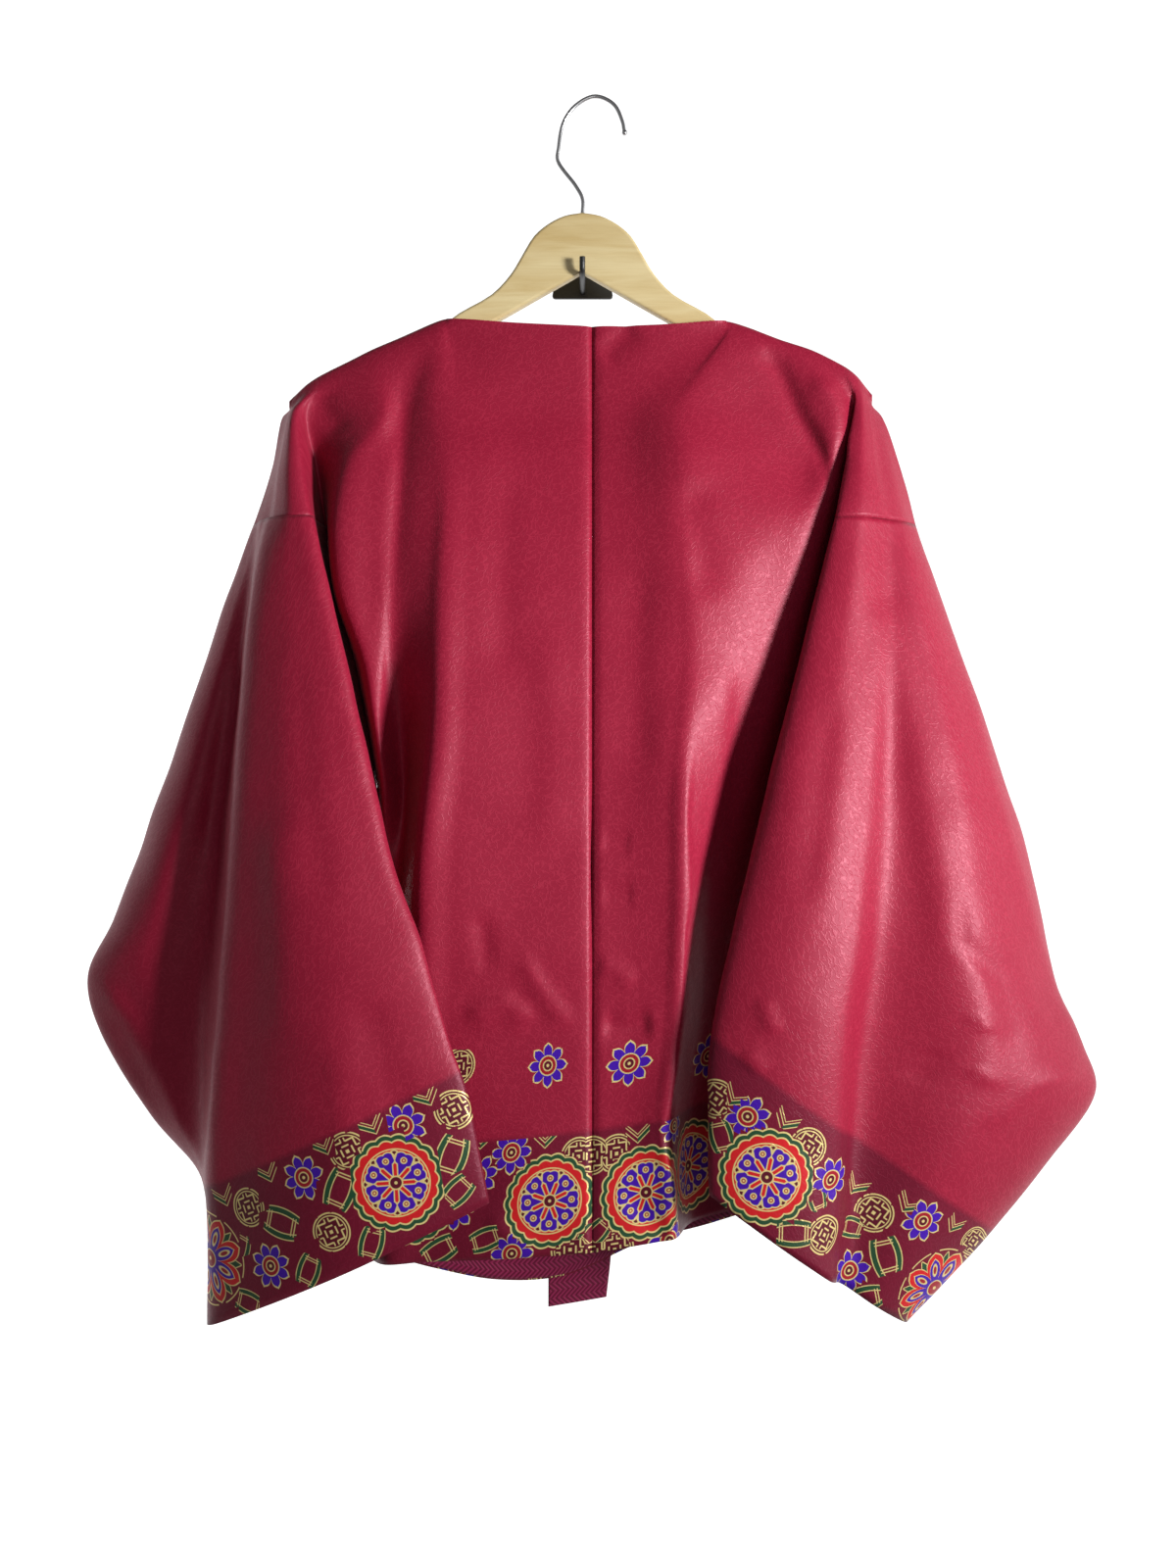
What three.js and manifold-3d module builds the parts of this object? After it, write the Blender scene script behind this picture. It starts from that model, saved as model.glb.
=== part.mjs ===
// Wide-sleeved wrap jacket with a pair of long ties, hanging by its shoulders on a wooden hanger
// with a steel hook. The hanger's notch rests on a small black wall hook.
// Millimetres, +Z up. X runs to the wearer's right, Y towards the wearer's front and the wall.
// The origin is the seat of the steel hook, where a rail would carry it.
import * as THREE from 'three';
import { mergeVertices } from 'three/addons/utils/BufferGeometryUtils.js';
import Module from 'manifold-3d';

const wasm = await Module();
wasm.setup();

// Driving sizes
const CLOTH = 1.5; // wall of the lined silk
const TIE_CLOTH = 1.2;
const SEAM_GAP = 0.3;
const CENTRE_X = -2.5; // centre back seam
const NECK = { y: -12, z: -182 }; // the neckline at the centre back
const NECK_LEAN = 0.08; // how far the cloth leans out for each millimetre below the neckline
const LINING_CLOTH = 1;
const SHOULDER_HALF = 2.4; // least depth of each panel beside the shoulder seam
const UNDERARM_HALF = 1; // half of the sleeve's width where it closes at the underarm
const WALL_Y = 46; // the wall that the front lies against
const HANGER_X = -9.8; // middle of the hanger and of its hooks
const HANGER_THICKNESS = 12;
const WIRE = 3.2; // hook wire diameter
const ROD = 4.4; // wall hook rod diameter
const TIE_WIDTH = 52;

const silk = new THREE.MeshStandardMaterial({ color: 0x8c2338, roughness: 0.45, metalness: 0 });
const lining = new THREE.MeshStandardMaterial({ color: 0x7a1534, roughness: 0.5, metalness: 0 });
const wood = new THREE.MeshStandardMaterial({ color: 0xdcc48f, roughness: 0.55, metalness: 0 });
const steel = new THREE.MeshStandardMaterial({ color: 0xc9ccd0, roughness: 0.25, metalness: 1 });
const blackPaint = new THREE.MeshStandardMaterial({ color: 0x101412, roughness: 0.4, metalness: 0.2 });

// Curves and grids of points

// A smooth curve through the points, with `steps` samples from each point to the next.
function curvePoints(points, steps, closed = false) {
  const curve = new THREE.CatmullRomCurve3(points, closed, 'centripetal');
  const spans = closed ? points.length : points.length - 1;
  const total = spans * steps;
  const samples = [];
  for (let i = 0; i < (closed ? total : total + 1); i += 1) {
    samples.push(curve.getPoint(i / total));
  }
  return samples;
}

// Rows of key points become a fine grid: smooth down each column, then across each row.
function loft(keyRows, downSteps, acrossSteps, closed = false) {
  const columns = keyRows[0].map((_, c) => curvePoints(keyRows.map((row) => row[c]), downSteps));
  return columns[0].map((_, r) => curvePoints(columns.map((column) => column[r]), acrossSteps, closed));
}

// A closed cloth wall. The grid is its outer face, `side` (1 or -1) says which way that face looks,
// keep(row, column) leaves cells out, and square(row, column) gives the axes that the end face at
// that point stands square to, as at a seam.
function wall(grid, options) {
  const { thickness = CLOTH, side = 1, closed = false } = options;
  const { keep = () => true, square = () => '' } = options;
  const rows = grid.length;
  const columns = grid[0].length;
  const cellColumns = closed ? columns : columns - 1;
  const at = (r, c) => grid[r][c % columns];
  const id = (r, c) => r * columns + (c % columns);
  const kept = (r, c) => {
    if (r < 0 || r >= rows - 1) return false;
    if (!closed && (c < 0 || c >= cellColumns)) return false;
    return keep(r, (c + cellColumns) % cellColumns);
  };
  const normals = grid.map((row) => row.map(() => new THREE.Vector3()));
  for (let r = 0; r < rows - 1; r += 1) {
    for (let c = 0; c < cellColumns; c += 1) {
      if (!kept(r, c)) continue;
      const across = at(r, c + 1).clone().sub(at(r + 1, c));
      const down = at(r + 1, c + 1).clone().sub(at(r, c));
      const normal = across.cross(down).normalize().multiplyScalar(side);
      for (const [dr, dc] of [[0, 0], [0, 1], [1, 0], [1, 1]]) {
        normals[r + dr][(c + dc) % columns].add(normal);
      }
    }
  }
  const positions = new Float32Array(rows * columns * 6);
  const innerStart = rows * columns;
  grid.forEach((row, r) => row.forEach((point, c) => {
    const normal = normals[r][c];
    for (const axis of square(r, c)) normal[axis] = 0;
    normal.normalize();
    const inner = point.clone().addScaledVector(normal, -thickness);
    point.toArray(positions, id(r, c) * 3);
    inner.toArray(positions, (innerStart + id(r, c)) * 3);
  }));
  const index = [];
  const quad = (a, b, c, d) => {
    if (side > 0) index.push(a, c, b, a, d, c);
    else index.push(a, b, c, a, c, d);
  };
  for (let r = 0; r < rows - 1; r += 1) {
    for (let c = 0; c < cellColumns; c += 1) {
      if (!kept(r, c)) continue;
      const [a, b, d, e] = [id(r, c), id(r + 1, c), id(r + 1, c + 1), id(r, c + 1)];
      const inner = (v) => v + innerStart;
      quad(a, b, d, e);
      quad(inner(e), inner(d), inner(b), inner(a));
      if (!kept(r, c - 1)) quad(a, inner(a), inner(b), b);
      if (!kept(r, c + 1)) quad(d, inner(d), inner(e), e);
      if (!kept(r - 1, c)) quad(e, inner(e), inner(a), a);
      if (!kept(r + 1, c)) quad(b, inner(b), inner(d), d);
    }
  }
  return compact(positions, index);
}

// Drops the points that no face uses.
function compact(positions, index) {
  const used = [...new Set(index)];
  const place = new Map(used.map((v, i) => [v, i]));
  const geometry = new THREE.BufferGeometry();
  const kept = new Float32Array(used.length * 3);
  used.forEach((v, i) => kept.set(positions.subarray(v * 3, v * 3 + 3), i * 3));
  geometry.setAttribute('position', new THREE.BufferAttribute(kept, 3));
  geometry.setIndex(index.map((v) => place.get(v)));
  return geometry;
}

const point = (x, y, z) => new THREE.Vector3(x, y, z);
const mix = (a, b, t) => a + (b - a) * t;

// Rows of numbers as objects, whose names come from the columns.
const table = (columns, rows) => rows.map(
  (row) => Object.fromEntries(columns.map((name, i) => [name, row[i]])),
);

// Body

// The shoulder line from the neck point to the tip of the shoulder, where both panels are sewn,
// and the neckline's two points towards the centre back.
const shoulders = {
  left: {
    line: [
      { x: -119, z: -173.8 },
      { x: -152, z: -188.5 },
      { x: -183, z: -201.5 },
      { x: -223, z: -223 },
      { x: -240, z: -238 },
    ],
    neckline: [
      { x: -58, y: -13, z: -179.5 },
      { x: -113, y: -10.5, z: -175.5 },
    ],
  },
  right: {
    line: [
      { x: 106, z: -175.6 },
      { x: 141, z: -188.5 },
      { x: 172, z: -198.5 },
      { x: 202, z: -215 },
      { x: 218, z: -233 },
    ],
    neckline: [
      { x: 50, y: -13, z: -181 },
      { x: 100, y: -10.5, z: -177 },
    ],
  },
};

// Back panel sections. Columns: z at the centre seam and at the side, depth at the seam (seamY),
// then the first ridge, the valley beside it, the second ridge and the panel's side edge.
const backColumns = [
  'z', 'zSide', 'seamY', 'ridgeX', 'ridgeY', 'valleyX', 'valleyY', 'foldX', 'foldY', 'edgeX', 'edgeY',
];
const backSections = {
  left: table(backColumns, [
    [-250, -250, -19, -123, -24, -148, -19, -164, -24, -224, -11],
    [-290, -290, -31, -116, -38, -150, -30, -189, -34, -218, -4],
    [-335, -335, -41, -114, -46, -152, -38, -199, -41, -212, 6],
    [-385, -385, -48, -116, -54, -154, -42, -196, -44, -205, 12],
    [-450, -450, -54, -118, -60, -151, -36, -175, -42, -189, 14],
    [-510, -510, -58, -121, -64, -150, -16, -166, -34, -178, 16],
    [-545, -545, -60, -125, -66, -149, -8, -163, -24, -173, 18],
    [-600, -600, -61, -132, -66, -152, -12, -165, -8, -174, 18],
    [-660, -660, -62, -133, -64, -155, -20, -168, -4, -177, 18],
    [-720, -722, -60, -135, -60, -154, -28, -168, 0, -179, 18],
    [-780, -784, -58, -141, -54, -160, -26, -172, 0, -181, 18],
    [-840, -848, -58, -152, -46, -168, -22, -177, 0, -184, 17],
    [-892, -908, -58, -160, -40, -174, -18, -181, 0, -186, 16],
  ]),
  right: table(backColumns, [
    [-250, -250, -19, 70, -28, 148, -17, 182, -21, 205, -8],
    [-290, -290, -31, 71, -42, 162, -22, 184, -25, 204, 0],
    [-335, -335, -41, 75, -50, 144, -37, 175, -28, 199, 8],
    [-385, -385, -48, 77, -56, 129, -42, 164, -27, 189, 12],
    [-450, -450, -54, 77, -60, 117, -44, 150, -24, 177, 14],
    [-510, -510, -58, 70, -66, 103, -42, 137, -20, 160, 16],
    [-545, -545, -60, 68, -68, 98, -40, 130, -16, 152, 18],
    [-600, -600, -62, 67, -68, 91, -38, 120, -12, 147, 18],
    [-660, -660, -62, 66, -66, 86, -34, 114, -8, 143, 18],
    [-720, -716, -60, 63, -64, 82, -28, 111, -5, 141, 18],
    [-780, -770, -58, 57, -62, 76, -22, 108, -3, 141, 18],
    [-840, -822, -58, 57, -60, 74, -17, 107, 0, 142, 17],
    [-892, -868, -58, 59, -58, 76, -14, 108, 2, 144, 16],
  ]),
};

// Sleeve sections; the first two are the same folds on the shoulder. Columns: z at the inner fold
// and at the outer fold, then points round the tube: the valley against the body (edge), the
// layer behind the inner fold (behind), the inner fold, the first lobe's depth (lobeY), its far
// side (brow), the valley next to it (trough), the second lobe's depth (swellY), the outer fold
// and the wall side.
const sleeveColumns = [
  'z', 'zOuter', 'edgeX', 'edgeY', 'behindX', 'behindY', 'foldX', 'foldY', 'lobeY', 'browX', 'browY',
  'troughX', 'troughY', 'swellY', 'outerX', 'outerY', 'wallX', 'wallY',
];
const sleeveSections = {
  left: table(sleeveColumns, [
    [-250, -250, -224, -11, -227, -15, -231, -19, -19, -237, -15, -239.5, -10, -5, -245, 0, -218, 14],
    [-290, -290, -218, -4, -221, -18, -227, -33, -34, -242, -25, -246, -16, -8, -253.5, 0, -213, 19],
    [-335, -335, -212, 6, -215, -22, -217, -45, -47, -246, -34, -253, -22, -12, -268, 0, -208, 24],
    [-385, -395, -205, 12, -207, -22, -205, -57, -60, -256, -44, -266, -26, -18, -290, 0, -200, 26],
    [-450, -470, -189, 14, -193, -30, -188, -69, -74, -262, -52, -276, -26, -24, -315, 0, -186, 27],
    [-510, -545, -178, 16, -181, -36, -173, -78, -85, -268, -58, -286, -24, -28, -342, 2, -176, 26],
    [-545, -590, -173, 18, -176, -42, -165, -82, -91, -271, -60, -292, -23, -30, -358, 4, -173, 18.5],
    [-600, -645, -182, 14, -174, -48, -150, -87, -97, -274, -62, -299, -22, -28, -380, 6, -190, 28],
    [-650, -690, -186, 6, -164, -62, -130, -91, -101, -277, -62, -304, -22, -22, -401, 8, -194, 28],
    [-690, -735, -188, 0, -152, -70, -118, -92, -102, -281, -60, -306, -24, -16, -390.5, 8, -196, 28],
    [-730, -800, -191, -4, -146, -72, -106, -92, -101, -285, -56, -304, -28, -14, -350, 6, -198, 28],
    [-762, -856, -194, -6, -142, -72, -95, -92, -98, -284, -50, -296, -36, -22, -304, 0, -200, 28],
    [-847, -955, -198, -8, -136, -72, -78, -88, -94, -286, -50, -296, -38, -24, -302, -4, -203, 27],
  ]),
  right: table(sleeveColumns, [
    [-250, -250, 205, -8, 203.5, -12, 201, -17, -18, 212, -14, 216, -10, -5, 225.5, 0, 201, 14],
    [-290, -290, 204, 0, 200, -14, 193, -30, -33, 215, -26, 221, -20, -12, 240, 0, 199, 19],
    [-335, -335, 199, 8, 192, -20, 183, -44, -46, 216, -38, 226, -30, -20, 252, 0, 196, 24],
    [-385, -395, 189, 12, 180, -22, 170, -51, -56, 212, -48, 226, -40, -32, 273, 0, 186, 26],
    [-450, -470, 177, 14, 165, -30, 153, -60, -68, 208, -60, 226, -50, -44, 299, 0, 174, 27],
    [-510, -545, 160, 16, 148, -36, 137, -68, -79, 204, -70, 224, -58, -54, 325, 2, 158, 26],
    [-545, -590, 152, 18, 141, -38, 128, -72, -85, 201, -75, 223, -62, -58, 340, 4, 152, 18.5],
    [-600, -640, 153, 12, 132, -46, 114, -76, -92, 195, -82, 218, -66, -62, 352, 6, 162, 28],
    [-650, -700, 154, 4, 124, -52, 101, -81, -96, 189, -86, 212, -66, -64, 364.5, 8, 166, 28],
    [-690, -745, 156, 0, 118, -54, 92, -83, -98, 184, -88, 206, -64, -62, 386, 10, 170, 28],
    [-722, -780, 158, -2, 116, -54, 86, -84, -98, 181, -88, 201, -62, -60, 396, 8, 172, 28],
    [-750, -832, 160, -4, 116, -54, 83, -84, -97, 179, -86, 197, -60, -58, 360, 4, 174, 28],
    [-776, -888, 162, -6, 118, -54, 83, -84, -95, 178, -82, 193, -58, -54, 313, -2, 176, 28],
    [-842, -956, 164, -8, 122, -54, 84, -84, -92, 174, -80, 186, -56, -48, 242, -18, 176, 27],
  ]),
};

// Front panels, a row for each back section: the opening edge, its lowest point and the
// lowest point in the middle. The side edge follows the back panel.
const frontColumns = ['openX', 'zOpen', 'zMid'];
const frontSections = {
  left: table(frontColumns, [
    [-70, -250, -250],
    [-38, -290, -290],
    [-4, -335, -335],
    [20, -385, -385],
    [29, -450, -450],
    [30, -510, -510],
    [31, -545, -545],
    [31, -600, -604],
    [31, -660, -668],
    [31, -722, -735],
    [30, -785, -804],
    [30, -848, -876],
    [29, -912, -943],
  ]),
  right: table(frontColumns, [
    [60, -250, -250],
    [28, -290, -290],
    [-4, -335, -335],
    [-26, -385, -385],
    [-34, -450, -450],
    [-35, -510, -510],
    [-36, -545, -545],
    [-36, -600, -602],
    [-36, -660, -664],
    [-36, -718, -726],
    [-36, -777, -788],
    [-36, -838, -847],
    [-36, -897, -905],
  ]),
};

// The facing inside each front's hem. Columns: grid rows that it covers, and how far it stops
// short of the hem.
const hemStrips = {
  left: { rows: 4, inset: 1.5 },
  right: { rows: 4, inset: 1.5 },
};

// How the cloth rounds over the hanger's arm, just below the shoulder line. Columns: depth from
// the line and drop below it at the neck, and the drop at the shoulder's tip.
const shoulderRound = [
  { depth: 0, drop: 0, tipDrop: 0 },
  { depth: 6.5, drop: 1.8, tipDrop: 4 },
  { depth: 11, drop: 9, tipDrop: 8 },
];

// Where each fold's top leaves the shoulder line, from 0 at the neck point to 1 at the tip.
const backSpread = [0, 0.28, 0.5, 0.68, 0.73, 0.79, 0.84, 0.89, 0.93, 0.965, 1];
const frontSpread = [0, 0.18, 0.36, 0.54, 0.72, 0.8, 0.88, 0.94, 1];
const ROUND_TO = 0.6; // past this share of the line the rounding fades into the fold at the tip

// Places in the grids. Steps are the samples between two key points.
const STEPS = 2;
const BACK_KEYS = { ridge: 3, edge: 6, outer: 13 };
const FRONT_KEYS = { side: 4, outer: 8 };
const RING_KEYS = { outer: 7, wall: 11 };
const SHOULDER_KEYS = shoulderRound.length;
const SHOULDER_ROWS = 2; // sleeve sections that belong to the panels
const SEAM_ROW = 5; // key row of the sleeve seam
const UNDERARM_ROW = 9;
const fine = (key) => key * STEPS;

// Depth of each front's outer face. The left one lies over the right one.
const frontDepth = { left: 40, right: 33.5 };
const FRONT_FOLD = 1.6; // depth of the fronts' soft folds
const FOLDS_FULL_ROW = 4; // key row below the shoulder where they reach it
const frontShares = [0, 0.25, 0.5, 0.75]; // columns from the opening edge towards the side
// Share of its depth that the front has reached at each key row below the shoulder.
const frontFall = [0.5, 0.68, 0.84, 0.93];

function shoulderPoints(side, spread) {
  const line = shoulders[side].line.map(({ x, z }) => point(x, 0, z));
  const curve = new THREE.CatmullRomCurve3(line, false, 'centripetal');
  return spread.map((share) => curve.getPoint(share));
}

// Key rows of the shoulder line and its rounding, for the back (-1) or the front (1).
function shoulderRows(side, spread, towards) {
  const line = shoulderPoints(side, spread);
  return shoulderRound.map(({ depth, drop, tipDrop }) => line.map((top, c) => {
    const past = Math.max(0, (spread[c] - ROUND_TO) / (1 - ROUND_TO));
    const bulge = Math.sqrt(1 - past ** 2);
    return point(top.x, towards * depth * bulge, top.z - mix(tipDrop, drop, bulge));
  }));
}

// Height along a sleeve section, which slants from the inner fold down to the outer one.
const sectionHeight = (row) => (x) => {
  const share = (x - row.foldX) / (row.outerX - row.foldX);
  return mix(row.z, row.zOuter, Math.min(1, Math.max(0, share)));
};

// Points of one section round the sleeve, from the valley against the body to the outer fold.
function backOfSleeve(row) {
  const drop = sectionHeight(row);
  const lobeX = mix(row.foldX, row.browX, 0.5);
  const swellX = mix(row.troughX, row.outerX, 0.5);
  return [
    point(row.edgeX, row.edgeY, drop(row.edgeX)),
    point(row.behindX, row.behindY, drop(row.behindX)),
    point(row.foldX, row.foldY, drop(row.foldX)),
    point(lobeX, row.lobeY, drop(lobeX)),
    point(row.browX, row.browY, drop(row.browX)),
    point(row.troughX, row.troughY, drop(row.troughX)),
    point(swellX, row.swellY, drop(swellX)),
    point(row.outerX, row.outerY, drop(row.outerX)),
  ];
}

// The wall side of the same section, from the outer fold back to the valley. Columns: share of
// the way, and depth.
const wallSide = [
  { share: 0.1, depth: 24 },
  { share: 0.45, depth: 38 },
  { share: 0.83, depth: 37 },
];

function frontOfSleeve(row) {
  const drop = sectionHeight(row);
  const spread = wallSide.map(({ share, depth }) => {
    const x = mix(row.outerX, row.wallX, share);
    return point(x, depth, drop(x));
  });
  return [...spread, point(row.wallX, row.wallY, drop(row.wallX))];
}

// Two more points of each back section. Columns: share of the way from the centre seam to the
// first ridge, and share of the depth between them.
const backFlank = [
  { share: 0.42, rise: 0.3 },
  { share: 0.8, rise: 0.9 },
];

function backKeyRows(side, out) {
  const seamX = CENTRE_X + out * (SEAM_GAP / 2);
  const neckline = [{ x: seamX, ...NECK }, ...shoulders[side].neckline];
  const tops = shoulderRows(side, backSpread, -1).map((row, r) => {
    const { drop } = shoulderRound[r];
    return [...neckline.map(({ x, y, z }) => point(x, y - drop * NECK_LEAN, z - drop)), ...row];
  });
  const sleeve = sleeveKeyRows(side);
  const below = backSections[side].map((row, r) => {
    const lean = (x) => mix(row.z, row.zSide, Math.min(1, (x - seamX) / (row.edgeX - seamX)));
    const flank = backFlank.map(({ share, rise }) => {
      const x = mix(seamX, row.ridgeX, share);
      return point(x, mix(row.seamY, row.ridgeY, rise), lean(x));
    });
    const sleeveRow = sleeve[Math.min(r, sleeve.length - 1)];
    return [
      point(seamX, row.seamY, row.z),
      ...flank,
      point(row.ridgeX, row.ridgeY, lean(row.ridgeX)),
      point(row.valleyX, row.valleyY, lean(row.valleyX)),
      point(row.foldX, row.foldY, lean(row.foldX)),
      point(row.edgeX, row.edgeY, row.zSide),
      ...sleeveRow.slice(1, RING_KEYS.outer + 1),
    ];
  });
  return [...tops, ...below];
}

function sleeveKeyRows(side) {
  return sleeveSections[side].map((row) => [...backOfSleeve(row), ...frontOfSleeve(row)]);
}

function frontKeyRows(side, out) {
  const tops = shoulderRows(side, frontSpread, 1);
  const sleeve = sleeveKeyRows(side);
  const below = backSections[side].map((back, r) => {
    const front = frontSections[side][r];
    const ring = sleeve[Math.min(r, sleeve.length - 1)];
    const [rim, pan, near, valley] = ring.slice(RING_KEYS.outer + 1);
    const sewn = r >= UNDERARM_ROW - SHOULDER_KEYS;
    const edge = sewn ? point(back.edgeX, back.edgeY + SEAM_GAP, back.zSide) : valley.clone();
    const depth = frontDepth[side] * (frontFall[r] ?? 1);
    const fold = FRONT_FOLD * Math.min(1, r / FOLDS_FULL_ROW);
    const across = frontShares.map((share, i) => {
      const lowest = mix(front.zMid, back.zSide, share ** 3);
      const z = mix(front.zOpen, lowest, Math.min(1, share * 3));
      return point(mix(front.openX, edge.x, share), depth - (i % 2) * fold, z);
    });
    return [...across, edge, near, pan, rim, ring[RING_KEYS.outer].clone()];
  });
  return [...tops, ...below];
}

// One grid row or column moved by a step, and a stretch of one column.
const shifted = (points, x, y, z) => points.map((p) => p.clone().add(point(x, y, z)));
const column = (grid, c, from, to) => grid.slice(from, to + 1).map((row) => row[c]);

function jacketSide(side) {
  const out = side === 'left' ? -1 : 1; // away from the centre along X
  const back = loft(backKeyRows(side, out), STEPS, STEPS);
  const front = loft(frontKeyRows(side, out), STEPS, STEPS);
  const sleeve = loft(sleeveKeyRows(side).slice(SHOULDER_ROWS), STEPS, STEPS, true);

  const seamRow = fine(SEAM_ROW);
  const underarm = fine(UNDERARM_ROW);
  const lastRow = back.length - 1;
  const [edge, outer] = [fine(BACK_KEYS.edge), fine(BACK_KEYS.outer)];
  const [sideSeam, frontOuter] = [fine(FRONT_KEYS.side), fine(FRONT_KEYS.outer)];

  // Shoulder seam and side seam: the front's edge follows the back's, either side of Y = 0.
  for (let r = 0; r <= seamRow; r += 1) back[r][outer].y = 0;
  for (let c = fine(BACK_KEYS.ridge); c <= outer; c += 1) back[0][c].y = 0;
  for (let c = 0; c < frontOuter; c += 1) front[0][c].y = SEAM_GAP;
  for (let r = 1; r < fine(SHOULDER_KEYS); r += 1) {
    for (let c = 0; c < outer; c += 1) back[r][c].y = Math.min(back[r][c].y, -SHOULDER_HALF);
    for (let c = 0; c < frontOuter; c += 1) front[r][c].y = Math.max(front[r][c].y, SHOULDER_HALF);
  }
  for (let r = 0; r <= seamRow; r += 1) {
    front[r][frontOuter] = back[r][outer].clone().add(point(0, SEAM_GAP, 0));
  }
  for (let r = underarm; r <= lastRow; r += 1) {
    front[r][sideSeam] = back[r][edge].clone().add(point(0, SEAM_GAP, 0));
  }

  // Sleeve seam: the top of the sleeve follows both panels' lower edges, and its open sides
  // follow the two edges of the armhole.
  const ringOuter = fine(RING_KEYS.outer);
  const ringWall = fine(RING_KEYS.wall);
  const armhole = underarm - seamRow;
  const topBack = shifted(back[seamRow].slice(edge, outer + 1), 0, 0, -SEAM_GAP);
  const topFront = shifted(front[seamRow].slice(sideSeam, frontOuter), 0, 0, -SEAM_GAP).reverse();
  topBack.forEach((p, c) => { sleeve[0][c] = p; });
  topFront.forEach((p, c) => { sleeve[0][ringOuter + 1 + c] = p; });
  const backEdge = shifted(column(back, edge, seamRow, underarm), out * SEAM_GAP, 0, 0);
  const frontEdge = shifted(column(front, sideSeam, seamRow, underarm), out * SEAM_GAP, 0, 0);
  for (let r = 0; r <= armhole; r += 1) {
    sleeve[r][0] = backEdge[r];
    sleeve[r][ringWall] = frontEdge[r];
  }
  sleeve[0][0].z -= SEAM_GAP;
  sleeve[0][ringWall].z -= SEAM_GAP;
  sleeve[armhole][0].y -= UNDERARM_HALF;
  sleeve[armhole][ringWall].y += UNDERARM_HALF;
  sleeve[armhole][ringWall + 1] = sleeve[armhole][0].clone().lerp(sleeve[armhole][ringWall], 0.5);

  const backWall = wall(back, {
    side: -out,
    keep: (r, c) => r < seamRow || c < edge,
    square: (r, c) => [
      c === 0 ? 'x' : '',
      (r === 0 && c >= fine(BACK_KEYS.ridge)) || (c === outer && r <= seamRow) ? 'y' : '',
      c === edge && r > seamRow ? 'y' : '',
      r === seamRow && c >= edge ? 'z' : '',
    ].join(''),
  });
  const frontWall = wall(front, {
    side: out,
    keep: (r, c) => r < seamRow || c < sideSeam,
    square: (r, c) => [
      r === 0 || (c === frontOuter && r <= seamRow) ? 'y' : '',
      c === sideSeam && r > seamRow ? 'y' : '',
      r === seamRow && c >= sideSeam ? 'z' : '',
    ].join(''),
  });
  const sleeveWall = wall(sleeve, {
    side: -out,
    closed: true,
    keep: (r, c) => r >= armhole || c < ringWall,
    square: (r, c) => [
      r === 0 ? 'z' : '',
      r < armhole && (c === 0 || c === ringWall) ? 'y' : '',
    ].join(''),
  });
  return { backWall, frontWall, sleeveWall, front, out };
}

// Lining, where it shows at the hems, and ties

// A grid moved along its own normals.
function movedOut(grid, towards, distance) {
  const rows = grid.length;
  const columns = grid[0].length;
  return grid.map((row, r) => row.map((p, c) => {
    const across = grid[r][Math.min(c + 1, columns - 1)].clone().sub(grid[r][Math.max(c - 1, 0)]);
    const down = grid[Math.min(r + 1, rows - 1)][c].clone().sub(grid[Math.max(r - 1, 0)][c]);
    return p.clone().addScaledVector(across.cross(down).normalize(), towards * distance);
  }));
}

// The front's facing in fret cloth, on the inner face along the hem.
function hemLining({ front, out }, { rows, inset }) {
  const lastColumn = fine(FRONT_KEYS.side) - 1;
  const strip = front.slice(front.length - rows).map((row) => row.slice(0, lastColumn + 1));
  const inner = movedOut(strip, -out, CLOTH + SEAM_GAP);
  const bottom = inner[inner.length - 1];
  bottom.forEach((p) => { p.z += inset; });
  return wall(inner, { side: out, thickness: LINING_CLOTH });
}

// Depth of a front's outer face at a place on it, from samples between its grid columns.
const DEPTH_SAMPLES = 4;

function depthOn(grid, x, z) {
  let nearest = grid[0][0];
  let best = Infinity;
  for (const row of grid) {
    for (let c = 0; c + 1 < row.length; c += 1) {
      for (let t = 0; t < DEPTH_SAMPLES; t += 1) {
        const p = row[c].clone().lerp(row[c + 1], t / DEPTH_SAMPLES);
        const gap = (p.x - x) ** 2 + (p.z - z) ** 2;
        if (gap < best) {
          best = gap;
          nearest = p;
        }
      }
    }
  }
  return nearest.y;
}

// A tie sewn to a front at its top, lying on that front's outer face and hanging past the hem.
function tie(front, stations) {
  const panel = front.map((row) => row.slice(0, fine(FRONT_KEYS.side) + 1));
  const keys = stations.map(({ x, z, width, lift, slant }) => [-0.5, 0, 0.5].map((share) => {
    const across = x + share * width;
    const y = depthOn(panel, across, z) + TIE_CLOTH + SEAM_GAP + lift;
    return point(across, y, z + slant * share);
  }));
  return wall(loft(keys, STEPS, STEPS), { side: -1, thickness: TIE_CLOTH });
}

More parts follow.
